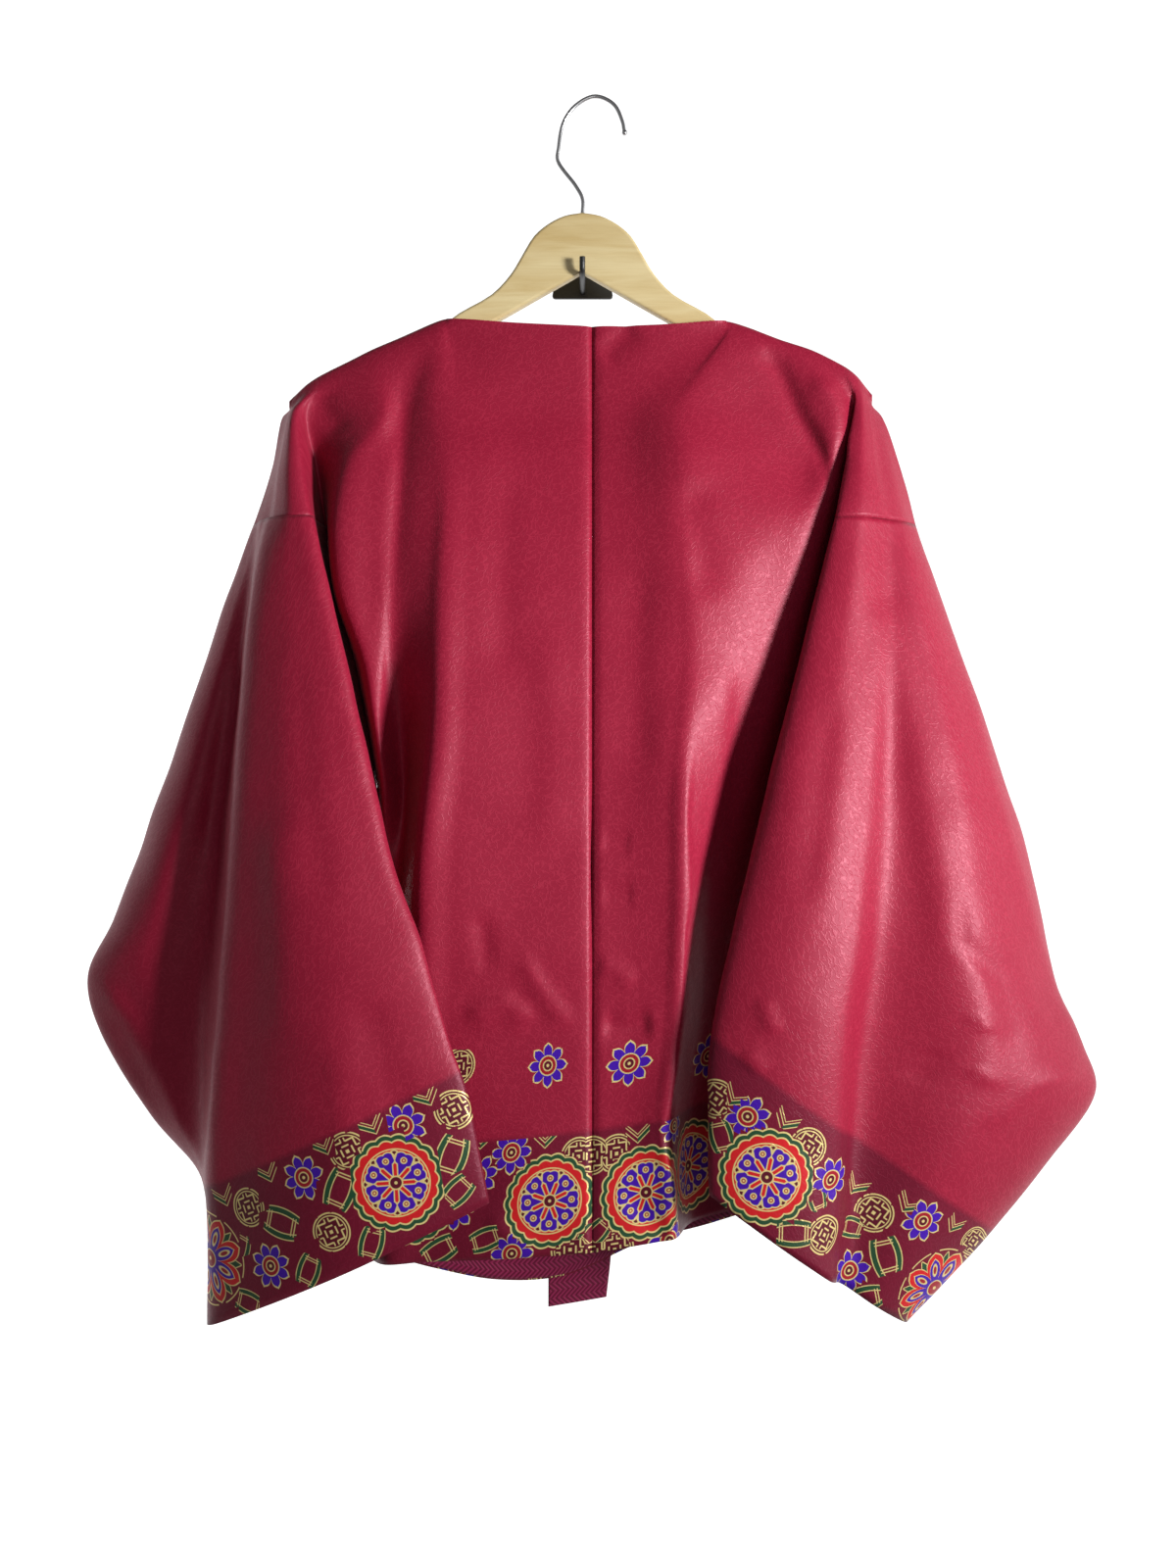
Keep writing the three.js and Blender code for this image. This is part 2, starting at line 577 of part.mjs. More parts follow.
// Stations down each tie. Columns: its middle, its height, its width, how far it lifts off the
// front, and how much lower its outer edge is.
const tieStations = {
  long: [
    { x: -14, z: -372, width: TIE_WIDTH, lift: 0, slant: 0 },
    { x: -14, z: -410, width: TIE_WIDTH, lift: 0.2, slant: 0 },
    { x: -14, z: -480, width: TIE_WIDTH, lift: 0.7, slant: 0 },
    { x: -13, z: -570, width: TIE_WIDTH, lift: 0.5, slant: 0 },
    { x: -13, z: -670, width: TIE_WIDTH, lift: 0.9, slant: 0 },
    { x: -13, z: -770, width: TIE_WIDTH, lift: 0.6, slant: 0 },
    { x: -12, z: -860, width: TIE_WIDTH, lift: 0.8, slant: 0 },
    { x: -12, z: -915, width: TIE_WIDTH - 1, lift: 0.8, slant: 2 },
    { x: -14, z: -957, width: TIE_WIDTH - 5, lift: 0.6, slant: 8 },
  ],
  short: [
    { x: 76, z: -352, width: TIE_WIDTH, lift: 0, slant: 0 },
    { x: 76, z: -400, width: TIE_WIDTH, lift: 0.3, slant: 0 },
    { x: 75, z: -480, width: TIE_WIDTH, lift: 0.8, slant: 0 },
    { x: 74, z: -570, width: TIE_WIDTH, lift: 0.9, slant: 0 },
    { x: 73, z: -670, width: TIE_WIDTH, lift: 0.7, slant: 0 },
    { x: 74, z: -760, width: TIE_WIDTH, lift: 0.9, slant: 0 },
    { x: 75, z: -838, width: TIE_WIDTH, lift: 0.8, slant: 3 },
  ],
};

// Hanger

// Half of the hanger's outline, from its middle. The upper edge comes first, then the under edge.
const hangerTop = [
  { out: 0, z: -91 },
  { out: 14, z: -93.5 },
  { out: 27, z: -100 },
  { out: 38, z: -109.5 },
  { out: 47, z: -124 },
  { out: 56, z: -139 },
  { out: 71, z: -155 },
  { out: 97, z: -170 },
  { out: 110, z: -180 },
  { out: 124, z: -187.5 },
  { out: 152, z: -196.5 },
  { out: 178, z: -207.5 },
  { out: 200, z: -220 },
];
const hangerUnder = [
  { out: 205, z: -238 },
  { out: 180, z: -230 },
  { out: 145, z: -216.5 },
  { out: 105, z: -197.5 },
  { out: 0, z: -137.5 },
];
const HANGER_END = { out: 211, z: -229.5 }; // rounded end of each arm
const HANGER_BEVEL = 2.4;
const HOOK_DEPTH = 13; // length of wire inside the wood

function hanger() {
  const outline = new THREE.Shape();
  const spline = (points) => outline.splineThru(points.map((p) => new THREE.Vector2(p.x, p.y)));
  const right = (p) => ({ x: HANGER_X + p.out, y: p.z });
  const left = (p) => ({ x: HANGER_X - p.out, y: p.z });
  const apex = right(hangerUnder[hangerUnder.length - 1]);
  const underBend = hangerUnder[hangerUnder.length - 2];
  outline.moveTo(apex.x, apex.y);
  outline.lineTo(right(underBend).x, right(underBend).y);
  spline(hangerUnder.slice(0, -2).reverse().map(right));
  spline([HANGER_END, hangerTop[hangerTop.length - 1]].map(right));
  spline(hangerTop.slice(0, -1).reverse().map(right));
  spline(hangerTop.slice(1).map(left));
  spline([HANGER_END, hangerUnder[0]].map(left));
  spline(hangerUnder.slice(1, -1).map(left));
  outline.lineTo(apex.x, apex.y);
  const wooden = new THREE.ExtrudeGeometry(outline, {
    depth: HANGER_THICKNESS - 2 * HANGER_BEVEL,
    bevelThickness: HANGER_BEVEL,
    bevelSize: HANGER_BEVEL,
    bevelOffset: -HANGER_BEVEL,
    bevelSegments: 2,
    curveSegments: 3,
  });
  wooden.translate(0, 0, -HANGER_THICKNESS / 2 + HANGER_BEVEL);
  wooden.rotateX(Math.PI / 2); // the outline's plane becomes X and Z
  const bore = new THREE.CylinderGeometry(WIRE / 2 + SEAM_GAP, WIRE / 2 + SEAM_GAP, 2 * HOOK_DEPTH, 12);
  bore.rotateX(Math.PI / 2);
  bore.translate(HANGER_X, 0, hangerTop[0].z);
  return cut(wooden, bore);
}

// Steel hook

// The bent wire's middle line, from inside the wood to the tip.
const hookRoute = [
  { x: HANGER_X, z: hangerTop[0].z - HOOK_DEPTH + SEAM_GAP },
  { x: HANGER_X, z: hangerTop[0].z },
  { x: HANGER_X, z: -79 },
  { x: -15, z: -69 },
  { x: -29.2, z: -49 },
  { x: -28.6, z: -39 },
  { x: -25, z: -20 },
  { x: -15.4, z: -6 },
  { x: 0, z: WIRE / 2 },
  { x: 14.5, z: -4.5 },
  { x: 21.5, z: -18 },
  { x: 23.2, z: -26.5 },
];
const HOOK_TIP = { x: 23.3, z: -27, radius: 2.3 };

// A round rod along a curve, closed at both ends. The section has twice `segments` sides.
function rod(points, diameter, steps, segments) {
  const section = new THREE.Shape();
  section.absarc(0, 0, diameter / 2, 0, 2 * Math.PI, false);
  const route = new THREE.CatmullRomCurve3(points, false, 'centripetal');
  return new THREE.ExtrudeGeometry(section, { extrudePath: route, steps, curveSegments: segments });
}

function hook() {
  const wire = rod(hookRoute.map(({ x, z }) => point(x, 0, z)), WIRE, 44, 5);
  const tip = new THREE.SphereGeometry(HOOK_TIP.radius, 12, 8);
  tip.translate(HOOK_TIP.x, 0, HOOK_TIP.z);
  return join(wire, tip);
}

// Wall hook

const PLATE = { top: 34, bottom: 50, height: 42, thickness: 3, corner: 3 };
const PLATE_BOTTOM_Z = -145.5;
// The rod's front end, from the wall's side of its bend. Columns: depth and rise above the rod.
const prongBend = [
  { y: -8, rise: 0 },
  { y: -12.5, rise: 2 },
  { y: -14, rise: 6.5 },
  { y: -14.3, rise: 11.5 },
];

function wallHook() {
  const [half, halfTop] = [PLATE.bottom / 2, PLATE.top / 2];
  const [low, high] = [PLATE_BOTTOM_Z, PLATE_BOTTOM_Z + PLATE.height];
  const r = PLATE.corner;
  const lean = ((half - halfTop) * r) / PLATE.height; // of the plate's side at the corner
  const outline = new THREE.Shape();
  outline.moveTo(-half + r, low);
  outline.lineTo(half - r, low);
  outline.quadraticCurveTo(half, low, half - lean, low + r);
  outline.lineTo(halfTop, high - r);
  outline.quadraticCurveTo(halfTop, high, halfTop - r, high);
  outline.lineTo(-halfTop + r, high);
  outline.quadraticCurveTo(-halfTop, high, -halfTop, high - r);
  outline.lineTo(-half + lean, low + r);
  outline.quadraticCurveTo(-half, low, -half + r, low);
  const plate = new THREE.ExtrudeGeometry(outline, {
    depth: PLATE.thickness,
    bevelEnabled: false,
    curveSegments: 4,
  });
  plate.rotateX(Math.PI / 2);
  plate.translate(HANGER_X, WALL_Y, 0);
  const rodZ = hangerUnder[hangerUnder.length - 1].z - SEAM_GAP - ROD / 2;
  const prong = rod([
    point(HANGER_X, WALL_Y - PLATE.thickness / 2, rodZ),
    point(HANGER_X, WALL_Y / 2, rodZ),
    ...prongBend.map(({ y, rise }) => point(HANGER_X, y, rodZ + rise)),
  ], ROD, 18, 5);
  return join(plate, prong);
}

// Joins and cuts

function toSolid(geometry) {
  const bare = geometry.clone();
  bare.deleteAttribute('normal');
  bare.deleteAttribute('uv');
  const merged = mergeVertices(bare, 1e-4);
  return new wasm.Manifold(new wasm.Mesh({
    numProp: 3,
    vertProperties: merged.attributes.position.array,
    triVerts: new Uint32Array(merged.index.array),
  }));
}

function toGeometry(solid) {
  const mesh = solid.getMesh();
  const geometry = new THREE.BufferGeometry();
  geometry.setAttribute('position', new THREE.BufferAttribute(mesh.vertProperties, 3));
  geometry.setIndex(new THREE.BufferAttribute(mesh.triVerts, 1));
  return geometry;
}

const join = (a, b) => toGeometry(toSolid(a).add(toSolid(b)));
const cut = (a, b) => toGeometry(toSolid(a).subtract(toSolid(b)));

// The part

const jacket = new THREE.Group();

function add(name, geometry, material) {
  const mesh = new THREE.Mesh(geometry, material);
  mesh.name = name;
  jacket.add(mesh);
}

const sides = { left: jacketSide('left'), right: jacketSide('right') };
for (const [side, made] of Object.entries(sides)) {
  add(`back_${side}`, made.backWall, silk);
  add(`front_${side}`, made.frontWall, silk);
  add(`sleeve_${side}`, made.sleeveWall, silk);
  add(`lining_${side}`, hemLining(made, hemStrips[side]), lining);
}
add('tie_long', tie(sides.left.front, tieStations.long), lining);
add('tie_short', tie(sides.right.front, tieStations.short), lining);
add('hanger', hanger(), wood);
add('hook', hook(), steel);
add('wall_hook', wallHook(), blackPaint);

export default jacket;
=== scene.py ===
"""A wrap jacket of figured silk on a wooden hanger, seen from its back: one operator for each piece."""
import math
from collections import namedtuple

import bmesh
import bpy
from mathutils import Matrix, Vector, noise


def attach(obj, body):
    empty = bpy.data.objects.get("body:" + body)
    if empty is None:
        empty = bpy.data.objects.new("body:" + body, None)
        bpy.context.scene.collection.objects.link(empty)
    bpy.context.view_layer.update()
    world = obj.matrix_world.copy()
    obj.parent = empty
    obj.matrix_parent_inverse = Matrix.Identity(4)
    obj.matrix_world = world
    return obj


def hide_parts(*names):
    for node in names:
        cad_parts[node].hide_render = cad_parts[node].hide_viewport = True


bl_info = {
    "name": "Wrap jacket on a hanger",
    "version": (1, 0, 0),
    "blender": (4, 5, 0),
    "location": "View3D > Sidebar > Jacket",
    "description": "Silk jacket with printed borders, its ties, its hanger and its hooks",
    "category": "Add Mesh",
}

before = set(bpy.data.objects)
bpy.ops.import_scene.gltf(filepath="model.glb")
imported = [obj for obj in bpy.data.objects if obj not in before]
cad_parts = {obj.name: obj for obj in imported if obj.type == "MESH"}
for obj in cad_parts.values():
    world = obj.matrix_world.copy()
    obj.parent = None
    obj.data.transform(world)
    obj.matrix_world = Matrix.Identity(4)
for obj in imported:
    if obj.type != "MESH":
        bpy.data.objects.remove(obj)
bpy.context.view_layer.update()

MM = 0.001

# Camera, in mm: it looks straight along +Y, with its focal length in pixels of the photograph
CAMERA = Vector((-5.4, -1400, -538.6))
FOCAL_PX = 1818.2
PHOTO_SIZE = (1200, 1600)
SENSOR = 36.0

# Jacket, in mm, in the frame of the solids: X to the wearer's right, Y towards the wearer's front
CENTRE_X = -2.5
SEAM_LAP = 0.15  # how far the back panels pass each other at the centre seam
LAYER_GAP = 0.3
NECK_Y, NECK_Z = -12, -182
NECK_LEAN = 0.08
SHOULDER_HALF = 2.4
UNDERARM_HALF = 1.0
SEAM_ROW = 5
UNDERARM_ROW = 9
SHOULDER_ROWS = 2
BACK_KEYS = {"ridge": 3, "edge": 6, "outer": 13}
FRONT_KEYS = {"side": 4, "outer": 8}
RING_KEYS = {"fold": 2, "outer": 7, "wall": 11, "around": 12}
ROUND_TO = 0.6
FRONT_DEPTH = {"left": 40, "right": 33.5}
FRONT_FOLD = 1.6
FOLDS_FULL_ROW = 4
MOST_LEAN = 0.8  # of a sleeve's columns against its cuff
LINING_SPANS = 1.5  # height of the facing in sections of its front
LINING_COLUMNS = 3.5
LINING_INSET = 1.5
TIE_WIDTH = 52
TIE_SEARCH = 60  # rows of a front further than this from a tie's station are passed over

Shoulder = namedtuple("Shoulder", "line neckline")
SHOULDERS = {
    "left": Shoulder(
        line=[(-119, -173.8), (-152, -188.5), (-183, -201.5), (-223, -223), (-240, -238)],
        neckline=[(-58, -13, -179.5), (-113, -10.5, -175.5)],
    ),
    "right": Shoulder(
        line=[(106, -175.6), (141, -188.5), (172, -198.5), (202, -215), (218, -233)],
        neckline=[(50, -13, -181), (100, -10.5, -177)],
    ),
}

# Back panels, section by section from the top: the centre seam, the first ridge, the valley
# beside it, the second ridge and the side edge
BackRow = namedtuple(
    "BackRow", "z z_side seam_y ridge_x ridge_y valley_x valley_y fold_x fold_y edge_x edge_y"
)
BACK_SECTIONS = {
    "left": [BackRow(*row) for row in (
        (-250, -250, -19, -123, -24, -148, -19, -164, -24, -224, -11),
        (-290, -290, -31, -116, -38, -150, -30, -189, -34, -218, -4),
        (-335, -335, -41, -114, -46, -152, -38, -199, -41, -212, 6),
        (-385, -385, -48, -116, -54, -154, -42, -196, -44, -205, 12),
        (-450, -450, -54, -118, -60, -151, -36, -175, -42, -189, 14),
        (-510, -510, -58, -121, -64, -150, -16, -166, -34, -178, 16),
        (-545, -545, -60, -125, -66, -149, -8, -163, -24, -173, 18),
        (-600, -600, -61, -132, -66, -152, -12, -165, -8, -174, 18),
        (-660, -660, -62, -133, -64, -155, -20, -168, -4, -177, 18),
        (-720, -722, -60, -135, -60, -154, -28, -168, 0, -179, 18),
        (-780, -784, -58, -141, -54, -160, -26, -172, 0, -181, 18),
        (-840, -848, -58, -152, -46, -168, -22, -177, 0, -184, 17),
        (-892, -908, -58, -160, -40, -174, -18, -181, 0, -186, 16),
    )],
    "right": [BackRow(*row) for row in (
        (-250, -250, -19, 70, -28, 148, -17, 182, -21, 205, -8),
        (-290, -290, -31, 71, -42, 162, -22, 184, -25, 204, 0),
        (-335, -335, -41, 75, -50, 144, -37, 175, -28, 199, 8),
        (-385, -385, -48, 77, -56, 129, -42, 164, -27, 189, 12),
        (-450, -450, -54, 77, -60, 117, -44, 150, -24, 177, 14),
        (-510, -510, -58, 70, -66, 103, -42, 137, -20, 160, 16),
        (-545, -545, -60, 68, -68, 98, -40, 130, -16, 152, 18),
        (-600, -600, -62, 67, -68, 91, -38, 120, -12, 147, 18),
        (-660, -660, -62, 66, -66, 86, -34, 114, -8, 143, 18),
        (-720, -716, -60, 63, -64, 82, -28, 111, -5, 141, 18),
        (-780, -770, -58, 57, -62, 76, -22, 108, -3, 141, 18),
        (-840, -822, -58, 57, -60, 74, -17, 107, 0, 142, 17),
        (-892, -868, -58, 59, -58, 76, -14, 108, 2, 144, 16),
    )],
}

# Sleeves, section by section: height at the inner and the outer fold, the valley against the
# body (edge), the layer behind the inner fold, that fold, the first lobe, its far side (brow),
# the valley next to it (trough), the second lobe (swell), the outer fold and the wall side
SleeveRow = namedtuple(
    "SleeveRow",
    "z z_outer edge_x edge_y behind_x behind_y fold_x fold_y lobe_y brow_x brow_y "
    "trough_x trough_y swell_y outer_x outer_y wall_x wall_y",
)
SLEEVE_SECTIONS = {
    "left": [SleeveRow(*row) for row in (
        (-250, -250, -224, -11, -227, -15, -231, -19, -19, -237, -15, -239.5, -10, -5, -245, 0, -218, 14),
        (-290, -290, -218, -4, -221, -18, -227, -33, -34, -242, -25, -246, -16, -8, -253.5, 0, -213, 19),
        (-335, -335, -212, 6, -215, -22, -217, -45, -47, -246, -34, -253, -22, -12, -268, 0, -208, 24),
        (-385, -395, -205, 12, -207, -22, -205, -57, -60, -256, -44, -266, -26, -18, -290, 0, -200, 26),
        (-450, -470, -189, 14, -193, -30, -188, -69, -74, -262, -52, -276, -26, -24, -315, 0, -186, 27),
        (-510, -545, -178, 16, -181, -36, -173, -78, -85, -268, -58, -286, -24, -28, -342, 2, -176, 26),
        (-545, -590, -173, 18, -176, -42, -165, -82, -91, -271, -60, -292, -23, -30, -358, 4, -173, 18.5),
        (-600, -645, -182, 14, -174, -48, -150, -87, -97, -274, -62, -299, -22, -28, -380, 6, -190, 28),
        (-650, -690, -186, 6, -164, -62, -130, -91, -101, -277, -62, -304, -22, -22, -401, 8, -194, 28),
        (-690, -735, -188, 0, -152, -70, -118, -92, -102, -281, -60, -306, -24, -16, -390.5, 8, -196, 28),
        (-730, -800, -191, -4, -146, -72, -106, -92, -101, -285, -56, -304, -28, -14, -350, 6, -198, 28),
        (-762, -856, -194, -6, -142, -72, -95, -92, -98, -284, -50, -296, -36, -22, -304, 0, -200, 28),
        (-847, -955, -198, -8, -136, -72, -78, -88, -94, -286, -50, -296, -38, -24, -302, -4, -203, 27),
    )],
    "right": [SleeveRow(*row) for row in (
        (-250, -250, 205, -8, 203.5, -12, 201, -17, -18, 212, -14, 216, -10, -5, 225.5, 0, 201, 14),
        (-290, -290, 204, 0, 200, -14, 193, -30, -33, 215, -26, 221, -20, -12, 240, 0, 199, 19),
        (-335, -335, 199, 8, 192, -20, 183, -44, -46, 216, -38, 226, -30, -20, 252, 0, 196, 24),
        (-385, -395, 189, 12, 180, -22, 170, -51, -56, 212, -48, 226, -40, -32, 273, 0, 186, 26),
        (-450, -470, 177, 14, 165, -30, 153, -60, -68, 208, -60, 226, -50, -44, 299, 0, 174, 27),
        (-510, -545, 160, 16, 148, -36, 137, -68, -79, 204, -70, 224, -58, -54, 325, 2, 158, 26),
        (-545, -590, 152, 18, 141, -38, 128, -72, -85, 201, -75, 223, -62, -58, 340, 4, 152, 18.5),
        (-600, -640, 153, 12, 132, -46, 114, -76, -92, 195, -82, 218, -66, -62, 352, 6, 162, 28),
        (-650, -700, 154, 4, 124, -52, 101, -81, -96, 189, -86, 212, -66, -64, 364.5, 8, 166, 28),
        (-690, -745, 156, 0, 118, -54, 92, -83, -98, 184, -88, 206, -64, -62, 386, 10, 170, 28),
        (-722, -780, 158, -2, 116, -54, 86, -84, -98, 181, -88, 201, -62, -60, 396, 8, 172, 28),
        (-750, -832, 160, -4, 116, -54, 83, -84, -97, 179, -86, 197, -60, -58, 360, 4, 174, 28),
        (-776, -888, 162, -6, 118, -54, 83, -84, -95, 178, -82, 193, -58, -54, 313, -2, 176, 28),
        (-842, -956, 164, -8, 122, -54, 84, -84, -92, 174, -80, 186, -56, -48, 242, -18, 176, 27),
    )],
}

# Front panels, a row for each back section: the opening edge and its lowest points
FrontRow = namedtuple("FrontRow", "open_x z_open z_mid")
FRONT_SECTIONS = {
    "left": [FrontRow(*row) for row in (
        (-70, -250, -250), (-38, -290, -290), (-4, -335, -335),
        (20, -385, -385), (29, -450, -450), (30, -510, -510),
        (31, -545, -545), (31, -600, -604), (31, -660, -668),
        (31, -722, -735), (30, -785, -804), (30, -848, -876),
        (29, -912, -943),
    )],
    "right": [FrontRow(*row) for row in (
        (60, -250, -250), (28, -290, -290), (-4, -335, -335),
        (-26, -385, -385), (-34, -450, -450), (-35, -510, -510),
        (-36, -545, -545), (-36, -600, -602), (-36, -660, -664),
        (-36, -718, -726), (-36, -777, -788), (-36, -838, -847),
        (-36, -897, -905),
    )],
}

Rounding = namedtuple("Rounding", "depth drop tip_drop")
SHOULDER_ROUND = [Rounding(0, 0, 0), Rounding(6.5, 1.8, 4), Rounding(11, 9, 8)]
BACK_SPREAD = [0, 0.28, 0.5, 0.68, 0.73, 0.79, 0.84, 0.89, 0.93, 0.965, 1]
FRONT_SPREAD = [0, 0.18, 0.36, 0.54, 0.72, 0.8, 0.88, 0.94, 1]
FRONT_SHARES = [0, 0.25, 0.5, 0.75]
FRONT_FALL = [0.5, 0.68, 0.84, 0.93]
WALL_SIDE = [(0.1, 24), (0.45, 38), (0.83, 37)]  # share of the way back, depth
BACK_FLANK = [(0.42, 0.3), (0.8, 0.9)]  # share of the way to the ridge, share of its depth

Station = namedtuple("Station", "x z width lift slant")
TIE_STATIONS = {
    "tie_long": [Station(*row) for row in (
        (-14, -372, TIE_WIDTH, 0, 0), (-14, -410, TIE_WIDTH, 0.2, 0),
        (-14, -480, TIE_WIDTH, 0.7, 0), (-13, -570, TIE_WIDTH, 0.5, 0),
        (-13, -670, TIE_WIDTH, 0.9, 0), (-13, -770, TIE_WIDTH, 0.6, 0),
        (-12, -860, TIE_WIDTH, 0.8, 0), (-12, -915, TIE_WIDTH - 1, 0.8, 2),
        (-14, -957, TIE_WIDTH - 5, 0.6, 8),
    )],
    "tie_short": [Station(*row) for row in (
        (76, -352, TIE_WIDTH, 0, 0), (76, -400, TIE_WIDTH, 0.3, 0),
        (75, -480, TIE_WIDTH, 0.8, 0), (74, -570, TIE_WIDTH, 0.9, 0),
        (73, -670, TIE_WIDTH, 0.7, 0), (74, -760, TIE_WIDTH, 0.9, 0),
        (75, -838, TIE_WIDTH, 0.8, 3),
    )],
}

# Creases: height in mm (below zero a trough), the width of its slopes left and right of a path
# that runs down, and the path in pixels of the photograph. A wall crease shapes the side that
# the photograph doesn't show, as seen through the cloth from the same camera.
Crease = namedtuple("Crease", "height left right path wall", defaults=(False,))
BODY_CREASES = [Crease(*row) for row in (
    (-1.1, 3.5, 3.5, [(604, -400), (604, 2100)]),
    (1.6, 14, 4, [(471, 1040), (490, 1027), (514, 1020), (532, 1030), (546, 1046)]),
    (1.3, 9, 5, [(530, 970), (554, 1011), (586, 1051)]),
    (-1.1, 7, 7, [(490, 930), (498, 995)]),
    (1.1, 8, 5, [(610, 981), (630, 990), (650, 1003)]),
    (-1.8, 8, 10, [(612, 1046), (640, 1050), (668, 1045)]),
    (-0.8, 8, 8, [(613, 858), (645, 861)]),
    (-0.7, 7, 9, [(613, 914), (648, 914)]),
    (-1.5, 8, 12, [(648, 330), (610, 366)]),
    (-1.2, 10, 9, [(441, 349), (423, 382), (411, 422), (407, 484), (402, 545), (398, 620)]),
    (1.4, 10, 4, [(404, 430), (396, 520), (390, 640), (384, 760)]),
    (1.2, 6, 14, [(457, 463), (455, 524), (450, 591), (447, 703), (440, 783), (431, 834), (424, 914)]),
    (1.3, 12, 3, [(704, 754), (699, 834), (703, 914), (697, 954), (692, 1060)]),
    (1.6, 12, 3, [(696, 1059), (684, 1110), (674, 1159), (685, 1215), (689, 1265)]),
    (-2.0, 7, 8, [(773, 351), (794, 375), (814, 422), (835, 459), (855, 504)]),
    (1.6, 8, 7, [(822, 388), (845, 398), (855, 414), (859, 439), (863, 473)]),
    (-1.4, 12, 14, [(710, 484), (708, 524), (718, 565), (722, 620)]),
    (-1.4, 9, 12, [(321, 400), (334, 424), (349, 443)]),
    (-0.9, 16, 12, [(520, 470), (512, 590), (516, 700)]),
    (0.9, 14, 18, [(560, 620), (566, 760), (560, 880)]),
    (-0.8, 18, 12, [(652, 560), (648, 690), (655, 800)]),
    (1.0, 12, 8, [(742, 660), (734, 780), (726, 900)]),
    (1.3, 7, 5, [(498, 1240), (520, 1262), (548, 1272)]),
    (-1.2, 9, 9, [(640, 1210), (662, 1246), (690, 1262)]),
    (1.4, 8, 12, [(350, 560), (342, 700), (338, 880)], True),
    (-1.2, 10, 8, [(470, 520), (462, 700), (470, 900)], True),
    (1.2, 12, 8, [(560, 560), (552, 760), (560, 980)], True),
    (-1.0, 9, 12, [(650, 600), (660, 780), (652, 960)], True),
)]
SLEEVE_CREASES = [Crease(*row) for row in (
    (2.2, 5, 13, [(290, 430), (275, 505), (254, 681), (240, 878), (227, 1041), (215, 1193), (218, 1330)]),
    (-1.5, 8, 6, [(246, 655), (226, 770), (210, 880)]),
    (1.6, 12, 4, [(303, 480), (316, 534), (332, 607), (351, 687), (373, 783), (402, 894), (437, 985)]),
    (1.4, 10, 7, [(96, 992), (135, 1040), (170, 1110), (200, 1190)]),
    (-0.9, 14, 12, [(300, 640), (312, 800), (330, 940)]),
    (1.1, 12, 16, [(276, 820), (290, 960), (288, 1080)]),
    (-1.2, 10, 8, [(368, 1010), (392, 1090), (420, 1150)]),
    (1.1, 7, 9, [(340, 1060), (352, 1140), (346, 1200)]),
    (0.9, 6, 5, [
        (968, 632), (992, 712), (1012, 795), (1039, 888), (1056, 950), (1091, 1041), (1100, 1064),
    ]),
    (1.7, 16, 14, [(905, 600), (920, 690), (940, 790), (959, 900), (975, 1000)]),
    (-1.4, 5, 9, [(977, 900), (980, 960), (1018, 997), (1033, 1047), (1027, 1105)]),
    (-1.2, 6, 6, [(956, 1070), (945, 1090), (930, 1104)]),
    (1.0, 5, 5, [(995, 1033), (1010, 1055)]),
    (1.0, 5, 5, [(991, 1085), (1016, 1109)]),
    (1.2, 5, 7, [(758, 1073), (768, 1082), (777, 1096)]),
    (1.2, 6, 5, [(779, 1018), (784, 1036), (792, 1056)]),
    (-1.3, 5, 6, [(852, 1190), (848, 1240), (850, 1304)]),
    (1.3, 5, 5, [(862, 1180), (860, 1240), (862, 1312)]),
    (-1.2, 14, 10, [(850, 700), (836, 820), (818, 940)]),
    (-0.9, 10, 14, [(892, 470), (900, 560), (898, 640)]),
    (1.3, 10, 6, [(1108, 1090), (1060, 1110), (1010, 1160)]),
    (1.8, 12, 9, [(270, 520), (250, 700), (236, 900), (228, 1100)], True),
    (-1.5, 9, 14, [(320, 700), (318, 900), (330, 1120)], True),
    (1.5, 7, 10, [(110, 1010), (150, 1090), (196, 1190)], True),
    (1.7, 12, 9, [(900, 560), (930, 760), (950, 960), (960, 1120)], True),
    (-1.4, 9, 13, [(1010, 880), (1030, 1000), (1010, 1130)], True),
    (1.2, 8, 10, [(850, 980), (846, 1120), (850, 1270)], True),
)]
RIPPLE_HEIGHT = 0.5  # mm, the silk's own unevenness
RIPPLE_LENGTH = 42.0  # mm
CREASE_ENDS = 0.22  # share of its path over which a crease fades in, and out again
FACING = (-0.15, 0.35)  # how far cloth turns from the camera between hidden and seen
FRONT_CREASE_SHARE = 0.6

